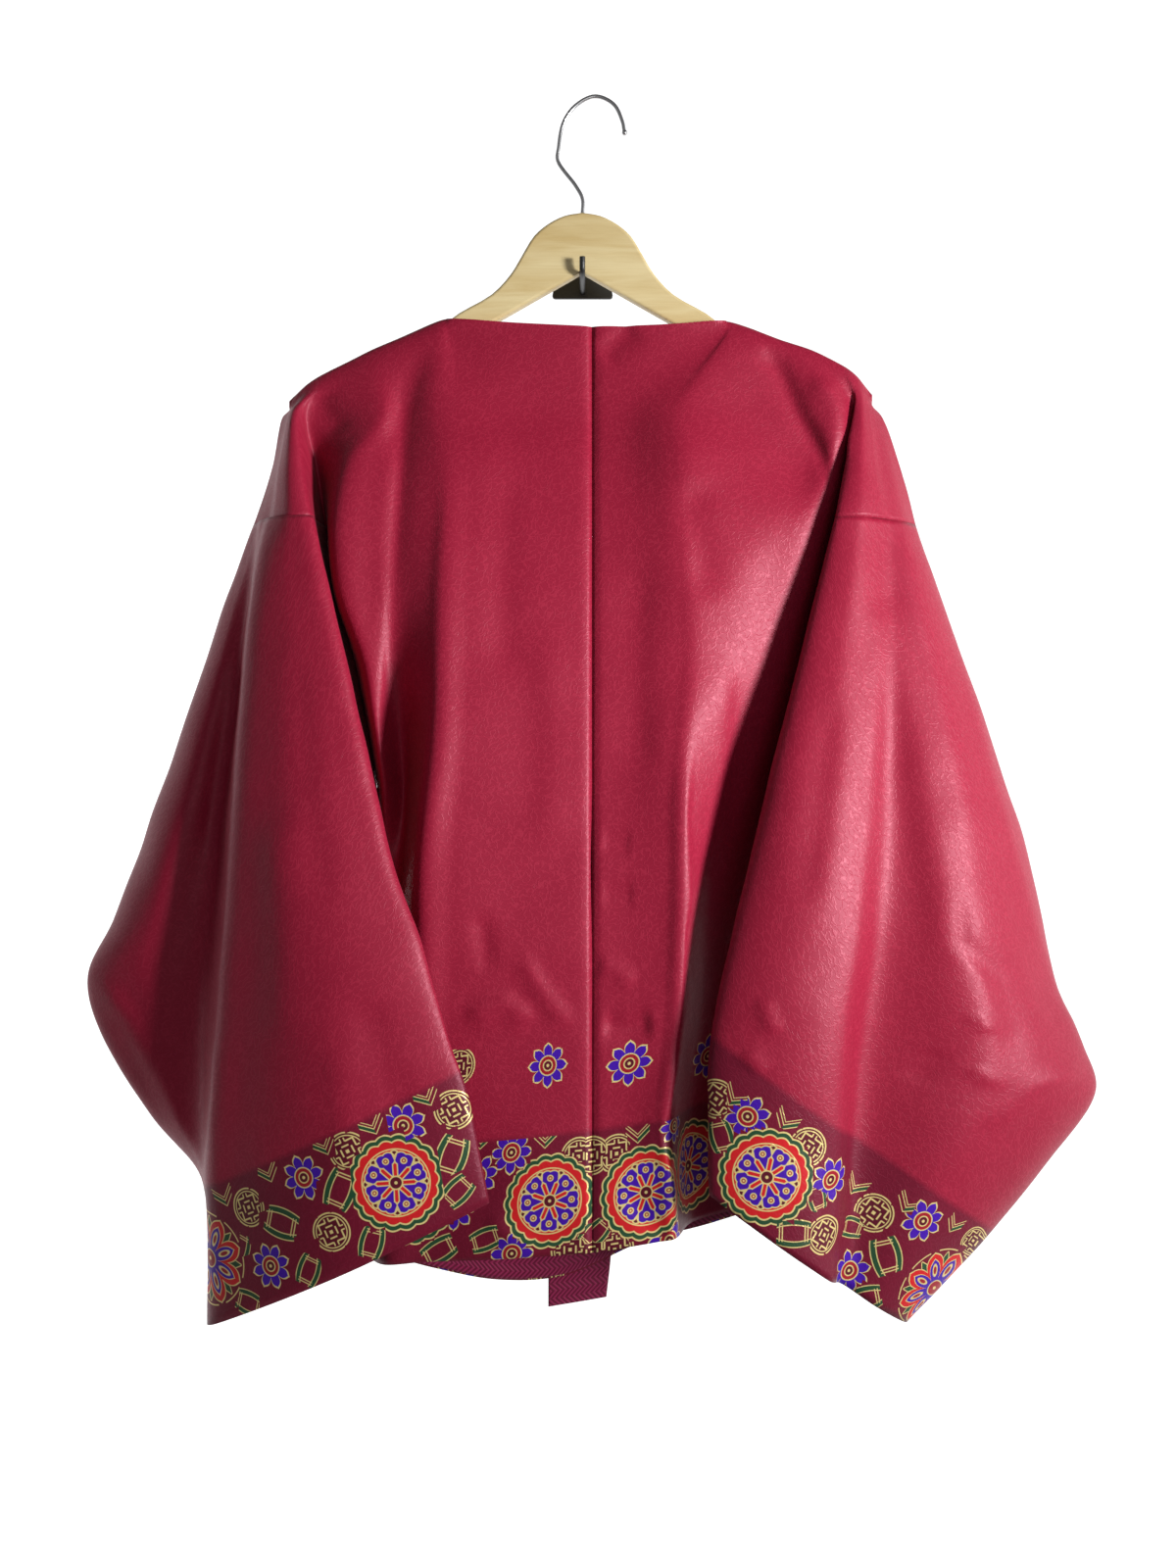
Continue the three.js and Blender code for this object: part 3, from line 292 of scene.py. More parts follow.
# Printed motifs. Their sizes are real radii in mm; seen ones are placed by pixels of the
# photograph and hidden ones by mm along the hem and above it.
Motif = namedtuple("Motif", "kind x y turn size", defaults=(0, 1))
ROSETTE, FLOWER, LOTUS, ROUNDEL, BARS, CHEVRON = range(1, 7)
LARGE = (ROSETTE, LOTUS)
RADIUS = {ROSETTE: 37.0, FLOWER: 17.6, LOTUS: 37.0, ROUNDEL: 15.0, BARS: 17.0, CHEVRON: 11.0}
SEEN_BODY = [Motif(*row) for row in (
    (ROSETTE, 559, 1223), (ROSETTE, 658, 1217), (ROSETTE, 703, 1191),
    (FLOWER, 560, 1085), (FLOWER, 641, 1084), (FLOWER, 722, 1080),
    (ROUNDEL, 467, 1090), (ROUNDEL, 587, 1179), (ROUNDEL, 629, 1179),
    (ROUNDEL, 579, 1277), (ROUNDEL, 629, 1277), (BARS, 609, 1260, 45, 0.7),
    (CHEVRON, 492, 1167), (CHEVRON, 553, 1163), (CHEVRON, 650, 1160),
    (FLOWER, 523, 1176), (FLOWER, 486, 1202, 12),
    (FLOWER, 521, 1280), (FLOWER, 687, 1282), (BARS, 497, 1262, 20, 0.8),
    (ROUNDEL, 450, 1175), (ROSETTE, 424, 1226), (FLOWER, 690, 1150, 0, 0.8),
    (FLOWER, 467, 1231), (BARS, 448, 1278, 30, 0.9),
)]
SEEN_LEFT_CUFF = [Motif(*row) for row in (
    (ROSETTE, 403, 1211), (LOTUS, 216, 1283), (FLOWER, 308, 1202),
    (FLOWER, 276, 1289), (FLOWER, 416, 1145), (ROUNDEL, 251, 1228),
    (ROUNDEL, 333, 1259), (ROUNDEL, 360, 1171), (ROUNDEL, 464, 1134),
    (BARS, 291, 1246, 37), (BARS, 345, 1215, -45), (BARS, 454, 1178, -45),
    (BARS, 240, 1271, -48, 0.8), (BARS, 372, 1269, -50, 0.8), (BARS, 320, 1298, -45, 0.8),
    (BARS, 257, 1330, 37, 0.8), (CHEVRON, 438, 1122), (CHEVRON, 386, 1147),
    (CHEVRON, 331, 1169), (CHEVRON, 278, 1196), (CHEVRON, 232, 1218),
    (BARS, 466, 1219, -20, 0.8),
)]
SEEN_RIGHT_CUFF = [Motif(*row) for row in (
    (ROSETTE, 782, 1199), (LOTUS, 955, 1313), (FLOWER, 866, 1296),
    (FLOWER, 766, 1140), (FLOWER, 943, 1250), (FLOWER, 851, 1203),
    (ROUNDEL, 890, 1240), (ROUNDEL, 825, 1169), (ROUNDEL, 732, 1120),
    (ROUNDEL, 842, 1257), (ROUNDEL, 994, 1266, 0, 0.8), (BARS, 867, 1252, 15, 0.7),
    (BARS, 904, 1278, -40), (BARS, 836, 1219, -40, 0.7), (BARS, 738, 1158, -40, 0.8),
    (BARS, 813, 1260, 33, 0.9), (BARS, 881, 1325, 49, 0.9), (BARS, 748, 1238, 45, 0.8),
    (CHEVRON, 749, 1121), (CHEVRON, 800, 1145), (CHEVRON, 871, 1209),
    (CHEVRON, 924, 1233), (CHEVRON, 975, 1250),
)]
# The print on sides that the photograph hides repeats the same motifs. Columns: kind, place
# along one repeat and height above the hem.
REPEAT_LENGTH = 146.0
REPEAT = [Motif(*row) for row in (
    (ROSETTE, 36, 41), (FLOWER, 36, 142), (FLOWER, 73, 76), (ROUNDEL, 73, 3),
    (LOTUS, 109, 41), (ROUNDEL, 109, 142), (FLOWER, 0, 3), (ROUNDEL, 0, 75),
    (CHEVRON, 36, 88), (CHEVRON, 109, 88), (BARS, 73, 36, 45, 0.9), (BARS, 0, 38, -45, 0.9),
)]
BORDER = {"body": 92.0, "cuff": 97.0}
REACH = 165.0  # height above the hem that motifs reach
FREE_FROM = 15.0  # motifs that stand free of the border start this far above it
MOTIF_EDGE = 1.12  # a cell belongs to a motif out to this many of its radii
SEAM_PX = 604  # the centre seam in the photograph
ACROSS_SEAM_PX = 45  # motifs this near to the seam are printed on both back panels
NEAREST_PX = 26  # a seen motif is printed on a piece whose cloth comes this near to it
HEM_START, HIDDEN_FROM, HEM_END = -20.0, 150.0, 400.0  # mm along the body's hem
PAST_FOLD = 30.0  # the hidden print of a sleeve starts this far past its outer fold

# Hanger and hooks, in mm
HANGER_X = -9.8
HANGER_THICKNESS = 12
HANGER_BEVEL = 2.4
WIRE = 3.2
ROD = 4.4
WALL_Y = 46
HANGER_TOP = [
    (0, -91), (14, -93.5), (27, -100), (38, -109.5), (47, -124), (56, -139), (71, -155),
    (97, -170), (110, -180), (124, -187.5), (152, -196.5), (178, -207.5), (200, -220),
]
HANGER_UNDER = [(205, -238), (180, -230), (145, -216.5), (105, -197.5), (0, -137.5)]
HANGER_END = (211, -229.5)
HOOK_ROUTE = [
    (-9.8, -103.7), (-9.8, -91), (-9.8, -79), (-15, -69), (-29.2, -49), (-28.6, -39),
    (-25, -20), (-15.4, -6), (0, 1.6), (14.5, -4.5), (21.5, -18), (23.2, -26.5),
]
HOOK_TIP = (23.3, -27, 2.3)
PLATE = {"top": 34, "bottom": 50, "height": 42, "thickness": 3, "corner": 3, "rim": 0.6, "z": -145.5}
PRONG_BEND = [(-8, 0), (-12.5, 2), (-14, 6.5), (-14.3, 11.5)]

# Stage, in metres: the backdrop's outline as radius and height above the floor, and the lamps
BACKDROP_PROFILE = [(0.0, 0.0), (2.2, 0.0), (2.6, 0.08), (2.9, 0.35), (3.0, 0.8), (3.0, 3.6)]
Lamp = namedtuple("Lamp", "name place aim size power spread")
LAMPS = [
    Lamp("Key lamp", (2.2, -1.65, -0.45), (0.12, 0, -0.44), 0.6, 6.9, 40),
    Lamp("Fill lamp", (0.5, -2.3, -0.5), (0, 0, -0.6), 1.0, 4, 180),
]
WORLD_LIGHT = 0.1

# Each cut piece laid flat, in metres: the rectangle that it is cut from and its own area
Cut = namedtuple("Cut", "width length area")


# Curves and grids

def spans(points, closed=False):
    """Each span of the smooth curve through the points, as its start and three further terms."""
    count = len(points)
    for i in range(count if closed else count - 1):
        b, c = points[i], points[(i + 1) % count]
        a = points[i - 1] if closed or i else 2 * b - c
        d = points[(i + 2) % count] if closed or i + 2 < count else 2 * c - b
        before, along, after = (math.sqrt((q - p).length) for p, q in ((a, b), (b, c), (c, d)))
        along = along if along > 1e-4 else 1.0
        before = before if before > 1e-4 else along
        after = after if after > 1e-4 else along
        leave = along * ((b - a) / before - (c - a) / (before + along) + (c - b) / along)
        arrive = along * ((c - b) / along - (d - b) / (along + after) + (d - c) / after)
        yield b, leave, 3 * (c - b) - 2 * leave - arrive, 2 * (b - c) + leave + arrive


def point_on(span, w):
    start, first, second, third = span
    return start + first * w + second * (w * w) + third * (w * w * w)


def curve_points(points, steps, closed=False):
    made = [point_on(span, k / steps) for span in spans(points, closed) for k in range(steps)]
    return made if closed else made + [points[-1].copy()]


def curve_at(points, share):
    place = share * (len(points) - 1)
    i = min(int(place), len(points) - 2)
    return point_on(list(spans(points))[i], place - i)


def loft(key_rows, down, across, closed=False):
    """A fine grid: smooth down each column of key points, then across each row."""
    columns = [curve_points(list(column), down) for column in zip(*key_rows)]
    return [curve_points(list(row), across, closed) for row in zip(*columns)]


def mix(a, b, t):
    return a + (b - a) * t


def soft_step(low, high, value):
    t = min(1.0, max(0.0, (value - low) / (high - low)))
    return t * t * (3 - 2 * t)


def to_photo(p):
    """A place in mm as pixels of the photograph."""
    scale = FOCAL_PX / (p.y - CAMERA.y)
    return (
        PHOTO_SIZE[0] / 2 + (p.x - CAMERA.x) * scale,
        PHOTO_SIZE[1] / 2 - (p.z - CAMERA.z) * scale,
    )


# Key points of the cloth

def out_of(side):
    """The sign of X away from the centre seam."""
    return -1 if side == "left" else 1


def shoulder_rows(side, spread, towards):
    """The shoulder line and its rounding over the hanger, for the back (-1) or the front (1)."""
    line = [Vector((x, 0, z)) for x, z in SHOULDERS[side].line]
    tops = [curve_at(line, share) for share in spread]
    rows = []
    for depth, drop, tip_drop in SHOULDER_ROUND:
        row = []
        for top, share in zip(tops, spread):
            past = max(0.0, (share - ROUND_TO) / (1 - ROUND_TO))
            bulge = math.sqrt(max(0.0, 1 - past * past))
            row.append(Vector((top.x, towards * depth * bulge, top.z - mix(tip_drop, drop, bulge))))
        rows.append(row)
    return rows


def sleeve_key_rows(side):
    rows = []
    for s in SLEEVE_SECTIONS[side]:
        def place(x, y, s=s):
            share = min(1.0, max(0.0, (x - s.fold_x) / (s.outer_x - s.fold_x)))
            return Vector((x, y, mix(s.z, s.z_outer, share)))
        row = [
            place(s.edge_x, s.edge_y), place(s.behind_x, s.behind_y), place(s.fold_x, s.fold_y),
            place(mix(s.fold_x, s.brow_x, 0.5), s.lobe_y), place(s.brow_x, s.brow_y),
            place(s.trough_x, s.trough_y), place(mix(s.trough_x, s.outer_x, 0.5), s.swell_y),
            place(s.outer_x, s.outer_y),
        ]
        row += [place(mix(s.outer_x, s.wall_x, share), depth) for share, depth in WALL_SIDE]
        rows.append(row + [place(s.wall_x, s.wall_y)])
    return rows


def back_key_rows(side):
    seam_x = CENTRE_X - out_of(side) * SEAM_LAP
    neckline = [Vector((seam_x, NECK_Y, NECK_Z))] + [Vector(p) for p in SHOULDERS[side].neckline]
    rows = []
    for row, (_, drop, _) in zip(shoulder_rows(side, BACK_SPREAD, -1), SHOULDER_ROUND):
        lean = Vector((0, drop * NECK_LEAN, drop))
        rows.append([p - lean for p in neckline] + row)
    sleeve = sleeve_key_rows(side)
    for r, b in enumerate(BACK_SECTIONS[side]):
        def place(x, y, b=b):
            return Vector((x, y, mix(b.z, b.z_side, min(1.0, (x - seam_x) / (b.edge_x - seam_x)))))
        flank = [
            place(mix(seam_x, b.ridge_x, share), mix(b.seam_y, b.ridge_y, rise))
            for share, rise in BACK_FLANK
        ]
        ring = sleeve[min(r, len(sleeve) - 1)]
        rows.append([
            Vector((seam_x, b.seam_y, b.z)), *flank, place(b.ridge_x, b.ridge_y),
            place(b.valley_x, b.valley_y), place(b.fold_x, b.fold_y),
            Vector((b.edge_x, b.edge_y, b.z_side)), *ring[1:RING_KEYS["outer"] + 1],
        ])
    return rows


def front_key_rows(side):
    rows = shoulder_rows(side, FRONT_SPREAD, 1)
    sleeve = sleeve_key_rows(side)
    for r, (b, f) in enumerate(zip(BACK_SECTIONS[side], FRONT_SECTIONS[side])):
        ring = sleeve[min(r, len(sleeve) - 1)]
        rim, pan, near, valley = ring[RING_KEYS["outer"] + 1:]
        sewn = r >= UNDERARM_ROW - len(SHOULDER_ROUND)
        edge = Vector((b.edge_x, b.edge_y, b.z_side)) if sewn else valley
        depth = FRONT_DEPTH[side] * (FRONT_FALL[r] if r < len(FRONT_FALL) else 1)
        fold = FRONT_FOLD * min(1, r / FOLDS_FULL_ROW)
        across = []
        for i, share in enumerate(FRONT_SHARES):
            lowest = mix(f.z_mid, b.z_side, share ** 3)
            z = mix(f.z_open, lowest, min(1, share * 3))
            across.append(Vector((mix(f.open_x, edge.x, share), depth - (i % 2) * fold, z)))
        rows.append([*across, edge, near, pan, rim, ring[RING_KEYS["outer"]]])
    return rows


def part_at_shoulder(panel, first, last, towards, down, across):
    """Brings a panel's top edge to the middle plane, and keeps what is below on its own side."""
    for c in range(first, last + 1):
        panel[0][c].y = 0
    for r in range(1, len(SHOULDER_ROUND) * down):
        half = SHOULDER_HALF * min(1, 2 * r / down)
        for c in range(last):
            inset = half * min(1, 2 * (last - c) / across)
            panel[r][c].y = towards * max(towards * panel[r][c].y, inset)


def sew_sleeve(sleeve, back, front, down, across):
    """Gives a sleeve the edges of its armhole, closes it under the arm and joins its ring."""
    seam_row, armhole = SEAM_ROW * down, (UNDERARM_ROW - SEAM_ROW) * down
    edge, outer = BACK_KEYS["edge"] * across, BACK_KEYS["outer"] * across
    side_seam, front_outer = FRONT_KEYS["side"] * across, FRONT_KEYS["outer"] * across
    ring_outer, ring_wall = RING_KEYS["outer"] * across, RING_KEYS["wall"] * across
    around = RING_KEYS["around"] * across
    for c in range(outer - edge + 1):
        sleeve[0][c] = back[seam_row][edge + c].copy()
    for c in range(front_outer - side_seam):
        sleeve[0][ring_outer + 1 + c] = front[seam_row][front_outer - 1 - c].copy()
    for r in range(armhole + 1):
        sleeve[r][0] = back[seam_row + r][edge].copy()
        sleeve[r][ring_wall] = front[seam_row + r][side_seam].copy()
    half = Vector((0, UNDERARM_HALF, 0))
    sleeve[armhole][0] = sleeve[armhole][0] - half
    sleeve[armhole][ring_wall] = sleeve[armhole][ring_wall] + half
    for c in range(ring_wall + 1, around):
        share = 1 - (c - ring_wall) / (around - ring_wall)
        sleeve[armhole][c] = sleeve[armhole][0].lerp(sleeve[armhole][ring_wall], share)
    for row in sleeve:
        row.append(row[0].copy())


def jacket_side(side, down, across):
    """Fine grids of one side's back, front and sleeve, whose sewn edges meet."""
    back = loft(back_key_rows(side), down, across)
    front = loft(front_key_rows(side), down, across)
    sleeve = loft(sleeve_key_rows(side)[SHOULDER_ROWS:], down, across, True)
    seam_row, underarm = SEAM_ROW * down, UNDERARM_ROW * down
    edge, outer = BACK_KEYS["edge"] * across, BACK_KEYS["outer"] * across
    side_seam, front_outer = FRONT_KEYS["side"] * across, FRONT_KEYS["outer"] * across
    for r in range(seam_row + 1):
        back[r][outer].y = 0
    part_at_shoulder(back, BACK_KEYS["ridge"] * across, outer, -1, down, across)
    part_at_shoulder(front, 0, front_outer, 1, down, across)
    for r in range(seam_row + 1):
        front[r][front_outer] = back[r][outer].copy()
    for r in range(underarm, len(back)):
        front[r][side_seam] = back[r][edge].copy()
    sew_sleeve(sleeve, back, front, down, across)
    return {"back": back, "front": front, "sleeve": sleeve}


# Cloth coordinates: along the hem and up from it, in mm

def running_lengths(points):
    lengths = [0.0]
    for a, b in zip(points, points[1:]):
        lengths.append(lengths[-1] + (b - a).length)
    return lengths


def unrolled(grid, out=1, slant=None):
    """Cloth coordinates of every grid point. slant(column) is how far a column leans along the
    hem for each mm up the cloth."""
    along = running_lengths(grid[-1])
    places = [[None] * len(along) for _ in grid]
    for c, start in enumerate(along):
        heights = running_lengths([row[c] for row in reversed(grid)])
        lean = slant(c) if slant else 0.0
        rise = math.sqrt(1 - lean * lean)
        for r, height in enumerate(reversed(heights)):
            places[r][c] = (out * (start + height * lean), height * rise)
    return places


def figured(grid, middle):
    """Places for the woven figure: along each row from its middle column, and up from the hem."""
    columns = [running_lengths(column[::-1])[::-1] for column in zip(*grid)]
    places = []
    for r, row in enumerate(grid):
        along = running_lengths(row)
        places.append([(along[c] - along[middle], columns[c][r]) for c in range(len(row))])
    return places


def cuff_slant(grid, across):
    """How the columns of a sleeve lean against its cuff; it changes sign round the two folds."""
    fold, outer = grid[-1][RING_KEYS["fold"] * across], grid[-1][RING_KEYS["outer"] * across]
    cuff = (outer - fold).normalized()
    border_row = next(r for r, row in enumerate(grid) if row[0].z < grid[-1][0].z + BORDER["cuff"])

    def slant(c):
        key = c / across
        up = (grid[border_row][c] - grid[-1][c]).normalized()
        past_fold = soft_step(RING_KEYS["fold"] - 0.6, RING_KEYS["fold"], key)
        past_outer = soft_step(RING_KEYS["outer"] - 0.5, RING_KEYS["outer"] + 0.5, key)
        sign = (past_fold - past_outer) * 2 - 1
        return max(-MOST_LEAN, min(MOST_LEAN, up.dot(cuff))) * sign

    return slant


# Creases

def crease_lift(crease, px, py, mm_per_px):
    """Height in mm that one crease gives to the cloth at a place in the photograph."""
    reach = 3 * max(crease.left, crease.right) / mm_per_px
    xs = [x for x, _ in crease.path]
    ys = [y for _, y in crease.path]
    if not (min(xs) - reach < px < max(xs) + reach and min(ys) - reach < py < max(ys) + reach):
        return 0.0
    best, place, on_right = 1e9, 0.0, True
    count = len(crease.path) - 1
    for i, ((x0, y0), (x1, y1)) in enumerate(zip(crease.path, crease.path[1:])):
        dx, dy = x1 - x0, y1 - y0
        t = max(0.0, min(1.0, ((px - x0) * dx + (py - y0) * dy) / (dx * dx + dy * dy)))
        ox, oy = px - x0 - t * dx, py - y0 - t * dy
        distance = math.hypot(ox, oy)
        if distance < best:
            best, place, on_right = distance, (i + t) / count, dy * ox - dx * oy > 0
    width = crease.right if on_right else crease.left
    ends = soft_step(0, CREASE_ENDS, place) * soft_step(0, CREASE_ENDS, 1 - place)
    return crease.height * ends * math.exp(-((best * mm_per_px / width) ** 2))


def lay_creases(bm, creases, depth_scale):
    """Moves the cloth along its normals: the listed creases, and the silk's own unevenness."""
    bm.normal_update()
    for v in bm.verts:
        p = v.co / MM
        px, py = to_photo(p)
        mm_per_px = (p.y - CAMERA.y) / FOCAL_PX
        seen = soft_step(*FACING, -v.normal.y)
        unseen = soft_step(*FACING, v.normal.y)
        lift = RIPPLE_HEIGHT * noise.noise(p / RIPPLE_LENGTH)
        for crease in creases:
            share = unseen if crease.wall else seen
            if share > 0:
                lift += share * crease_lift(crease, px, py, mm_per_px)
        v.co += v.normal * (lift * depth_scale * MM)


# Print: each cell of the cloth takes the motif that it lies in

def placed(seen, grid, places, columns):
    """Motifs in cloth coordinates, from the nearest grid point to each place in the photograph."""
    spots = []
    for r, row in enumerate(grid):
        for c in range(*columns):
            if places[r][c][1] < REACH:
                spots.append((*to_photo(row[c]), places[r][c]))
    made = []
    for m in seen:
        px, py, (u, v) = min(spots, key=lambda spot: (spot[0] - m.x) ** 2 + (spot[1] - m.y) ** 2)
        if math.hypot(px - m.x, py - m.y) < NEAREST_PX:
            made.append(m._replace(x=u, y=v))
    return made


def repeated(start, end):
    """The hidden print between two places along the hem, in mm."""
    low, high = sorted((start, end))
    made = []
    turn = math.floor(low / REPEAT_LENGTH)
    while turn * REPEAT_LENGTH < high:
        for m in REPEAT:
            u = m.x + turn * REPEAT_LENGTH
            if low <= u <= high:
                made.append(m._replace(x=u))
        turn += 1
    return made


def print_motifs(bm, cloth_uv, motifs):
    """Writes each face's motif kind, and its place in that motif, in mm from its middle. Large
    motifs lie over the small ones."""
    motif_uv = bm.loops.layers.uv.new("Motif")
    kind = bm.faces.layers.float.new("motif_kind")
    for face in bm.faces:
        us = [loop[cloth_uv].uv for loop in face.loops]
        u = sum(p.x for p in us) / len(us) / MM
        v = sum(p.y for p in us) / len(us) / MM
        if v > REACH:
            continue
        best, chosen = MOTIF_EDGE, None
        for m in motifs:
            radius = RADIUS[m.kind] * m.size
            near = math.hypot(u - m.x, v - m.y) / radius
            if m.kind in LARGE and near < 1:
                near -= 1
            if near < best:
                best, chosen = near, m
        if chosen is None:
            continue
        face[kind] = chosen.kind
        cos, sin = math.cos(math.radians(chosen.turn)), math.sin(math.radians(chosen.turn))
        for loop, p in zip(face.loops, us):
            x, y = (p.x / MM - chosen.x) / chosen.size, (p.y / MM - chosen.y) / chosen.size
            loop[motif_uv].uv = ((cos * x + sin * y) * MM, (cos * y - sin * x) * MM)


# Objects

def link(name, bm, *materials):
    mesh = bpy.data.meshes.new(name)
    bm.to_mesh(mesh)
    bm.free()
    obj = bpy.data.objects.new(name, mesh)
    bpy.context.scene.collection.objects.link(obj)
    for finish in materials:
        mesh.materials.append(finish)
    return obj


def cloth_mesh(grid, places, keep, flip, middle=0):
    """A create_grid laid on the grid's points, with its cloth coordinates as UV maps."""
    rows, columns = len(grid), len(grid[0])
    bm = bmesh.new()
    bmesh.ops.create_grid(bm, x_segments=columns - 1, y_segments=rows - 1, size=1)
    if len(bm.verts) != rows * columns:
        raise RuntimeError("the grid doesn't have a point for each place")
    slots = {}
    for v in bm.verts:
        c = round((v.co.x + 1) / 2 * (columns - 1))
        r = round((1 - v.co.y) / 2 * (rows - 1))
        slots[v] = (r, c)
    cloth_uv = bm.loops.layers.uv.new("Cloth")
    figure_uv = bm.loops.layers.uv.new("Figure")
    woven = figured(grid, middle)
    dropped = []
    for face in bm.faces:
        cells = [slots[v] for v in face.verts]
        if not keep(min(r for r, _ in cells), min(c for _, c in cells)):
            dropped.append(face)
            continue
        for loop in face.loops:
            r, c = slots[loop.vert]
            loop[cloth_uv].uv = (places[r][c][0] * MM, places[r][c][1] * MM)
            loop[figure_uv].uv = (woven[r][c][0] * MM, woven[r][c][1] * MM)
    for v, (r, c) in slots.items():
        v.co = grid[r][c] * MM
    bmesh.ops.delete(bm, geom=dropped, context="FACES")
    bmesh.ops.remove_doubles(bm, verts=bm.verts, dist=1e-6)
    if flip:
        bmesh.ops.reverse_faces(bm, faces=bm.faces)
    for face in bm.faces:
        face.smooth = True
    return bm, cloth_uv


def cloth_piece(node, bm, thickness, rests_on, slot, *finishes):
    """A finished piece of cloth; where there are two finishes the second is its inner side."""
    obj = link(node.capitalize(), bm, *(material(name) for name in finishes))
    solidify = obj.modifiers.new("Cloth thickness", "SOLIDIFY")
    solidify.thickness = thickness
    solidify.offset = -1
    solidify.material_offset = len(finishes) - 1
    solidify.use_even_offset = False
    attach(obj, "root")
    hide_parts(node)


# Materials

SOFT = 0.22  # mm, the print's edge


def written(operation, reflected=False):
    """A method that writes one Math node."""
    def method(self, *others):
        return self.math(operation, *((*others, self) if reflected else (self, *others)))
    return method


class Wire:
    """An output socket that ordinary arithmetic can be written with."""

    def __init__(self, tree, socket=None):
        self.tree = tree
        self.socket = socket

    def make(self, kind, inputs=None, settings=None, output=0):
        """Any node: its settings first, then values or wires by input name or number."""
        node = self.tree.nodes.new("ShaderNode" + kind)
        for name, value in (settings or {}).items():
            setattr(node, name, value)
        for name, value in (inputs or {}).items():
            if isinstance(value, Wire):
                self.tree.links.new(value.socket, node.inputs[name])
            else:
                node.inputs[name].default_value = value
        return Wire(self.tree, node.outputs[output] if node.outputs else None)

    def math(self, operation, *values):
        return self.make("Math", dict(enumerate(values)), {"operation": operation})

    __add__, __radd__ = written("ADD"), written("ADD", True)
    __sub__, __rsub__ = written("SUBTRACT"), written("SUBTRACT", True)
    __mul__, __rmul__ = written("MULTIPLY"), written("MULTIPLY", True)
    __truediv__, __rtruediv__ = written("DIVIDE"), written("DIVIDE", True)
    __pow__, __abs__ = written("POWER"), written("ABSOLUTE")
    lower, higher = written("MINIMUM"), written("MAXIMUM")
    fraction, cosine = written("FRACT"), written("COSINE")
    sine, floor = written("SINE"), written("FLOOR")

    def ramp(self, low, high, first=0.0, last=1.0):
        """From the first value to the last while this goes from low to high."""
        return self.make("MapRange", {0: self, 1: low, 2: high, 3: first, 4: last})

    def below(self, limit, soft=SOFT):
        """1 where this is under the limit, with a soft edge."""
        return (limit - self).ramp(-soft, soft)

    def line(self, half, soft=SOFT):
        """1 within `half` of zero."""
        return abs(self).below(half, soft)

    def tint(self, over, colour):
        """`over` painted with a colour where this is 1."""
        return self.make("Mix", {0: self, 6: over, 7: colour}, {"data_type": "RGBA"}, 2)


def ink(red, green, blue):
    """A colour as it is seen, from 0 to 255, in the values that a shader takes."""
    def linear(value):
        value /= 255
        return value / 12.92 if value <= 0.04045 else ((value + 0.055) / 1.055) ** 2.4
    return (linear(red), linear(green), linear(blue), 1.0)


PETALS = 8
Place = namedtuple("Place", "x y radius angle along across share")


def motif_place(x, y):
    """A place in a motif, also along and across the nearest of its petals, and its share of the angle."""
    radius = (x * x + y * y) ** 0.5
    angle = x.math("ARCTAN2", y, x)
    share = (angle * (PETALS / (2 * math.pi)) + 0.5).fraction() - 0.5
    turn = share * (2 * math.pi / PETALS)
    return Place(x, y, radius, angle, radius * turn.cosine(), abs(radius * turn.sine()), abs(share) * 2)


def rosette(at):
    radius, along, across, share = at.radius, at.along, at.across, at.share
    scallop = abs((at.angle * 9).cosine())
    rim, red_rim, inner = 34.2 + scallop * 1.9, 29.8 + scallop * 1.9, 25.0
    head = ((along - 18.2) ** 2 + (across - 2.6) ** 2) ** 0.5 - 4.9
    stem = (across - (along - 4.2) * 0.4).higher(along - 18.6).higher(5.4 - along)
    petal = head.lower(stem)
    eye = ((along - 17.4) ** 2 + across ** 2) ** 0.5
    wedge = (1 - share) * radius * 0.39
    gore = (wedge - (along - 16) * 0.36).higher(16 - along).higher(along - 22.4)
    gold = (radius - rim).line(0.7).higher((radius - red_rim).line(0.6))
    for edge in (radius - inner, petal, eye - 2.1, radius - 4.8, gore):
        gold = gold.higher(edge.line(0.48))
    gold = gold.higher(radius.below(1.2)).higher(eye.below(0.8))
    gold = gold * radius.below(rim + 0.6)
    green = radius.below(rim)
    red = radius.below(red_rim)
    maroon = gore.below(0).higher(radius.below(4.8))
    purple = petal.below(0) * (1 - eye.below(2.1))
    hub = eye.below(2.1)
    return {"green": green, "red": red, "maroon": maroon, "purple": purple, "hub": hub, "gold": gold}


def flower(at):
    radius, along, across, share = at.radius, at.along, at.across, at.share
    rim = 17.4 - (share ** 0.55) * 3.2 - (share ** 4) * 5.2
    petals = radius.below(rim)
    gold = (radius - rim).line(0.7)
    for ring in (7.4, 3.9):
        gold = gold.higher((radius - ring).line(0.45))
    dots = (((along - 5.8) ** 2 + across ** 2) ** 0.5).below(1.1)
    gold = gold.higher(radius.below(1.2))
    return {
        "purple": petals, "hub": radius.below(7.4), "maroon": radius.below(3.9),
        "red": dots, "gold": gold,
    }


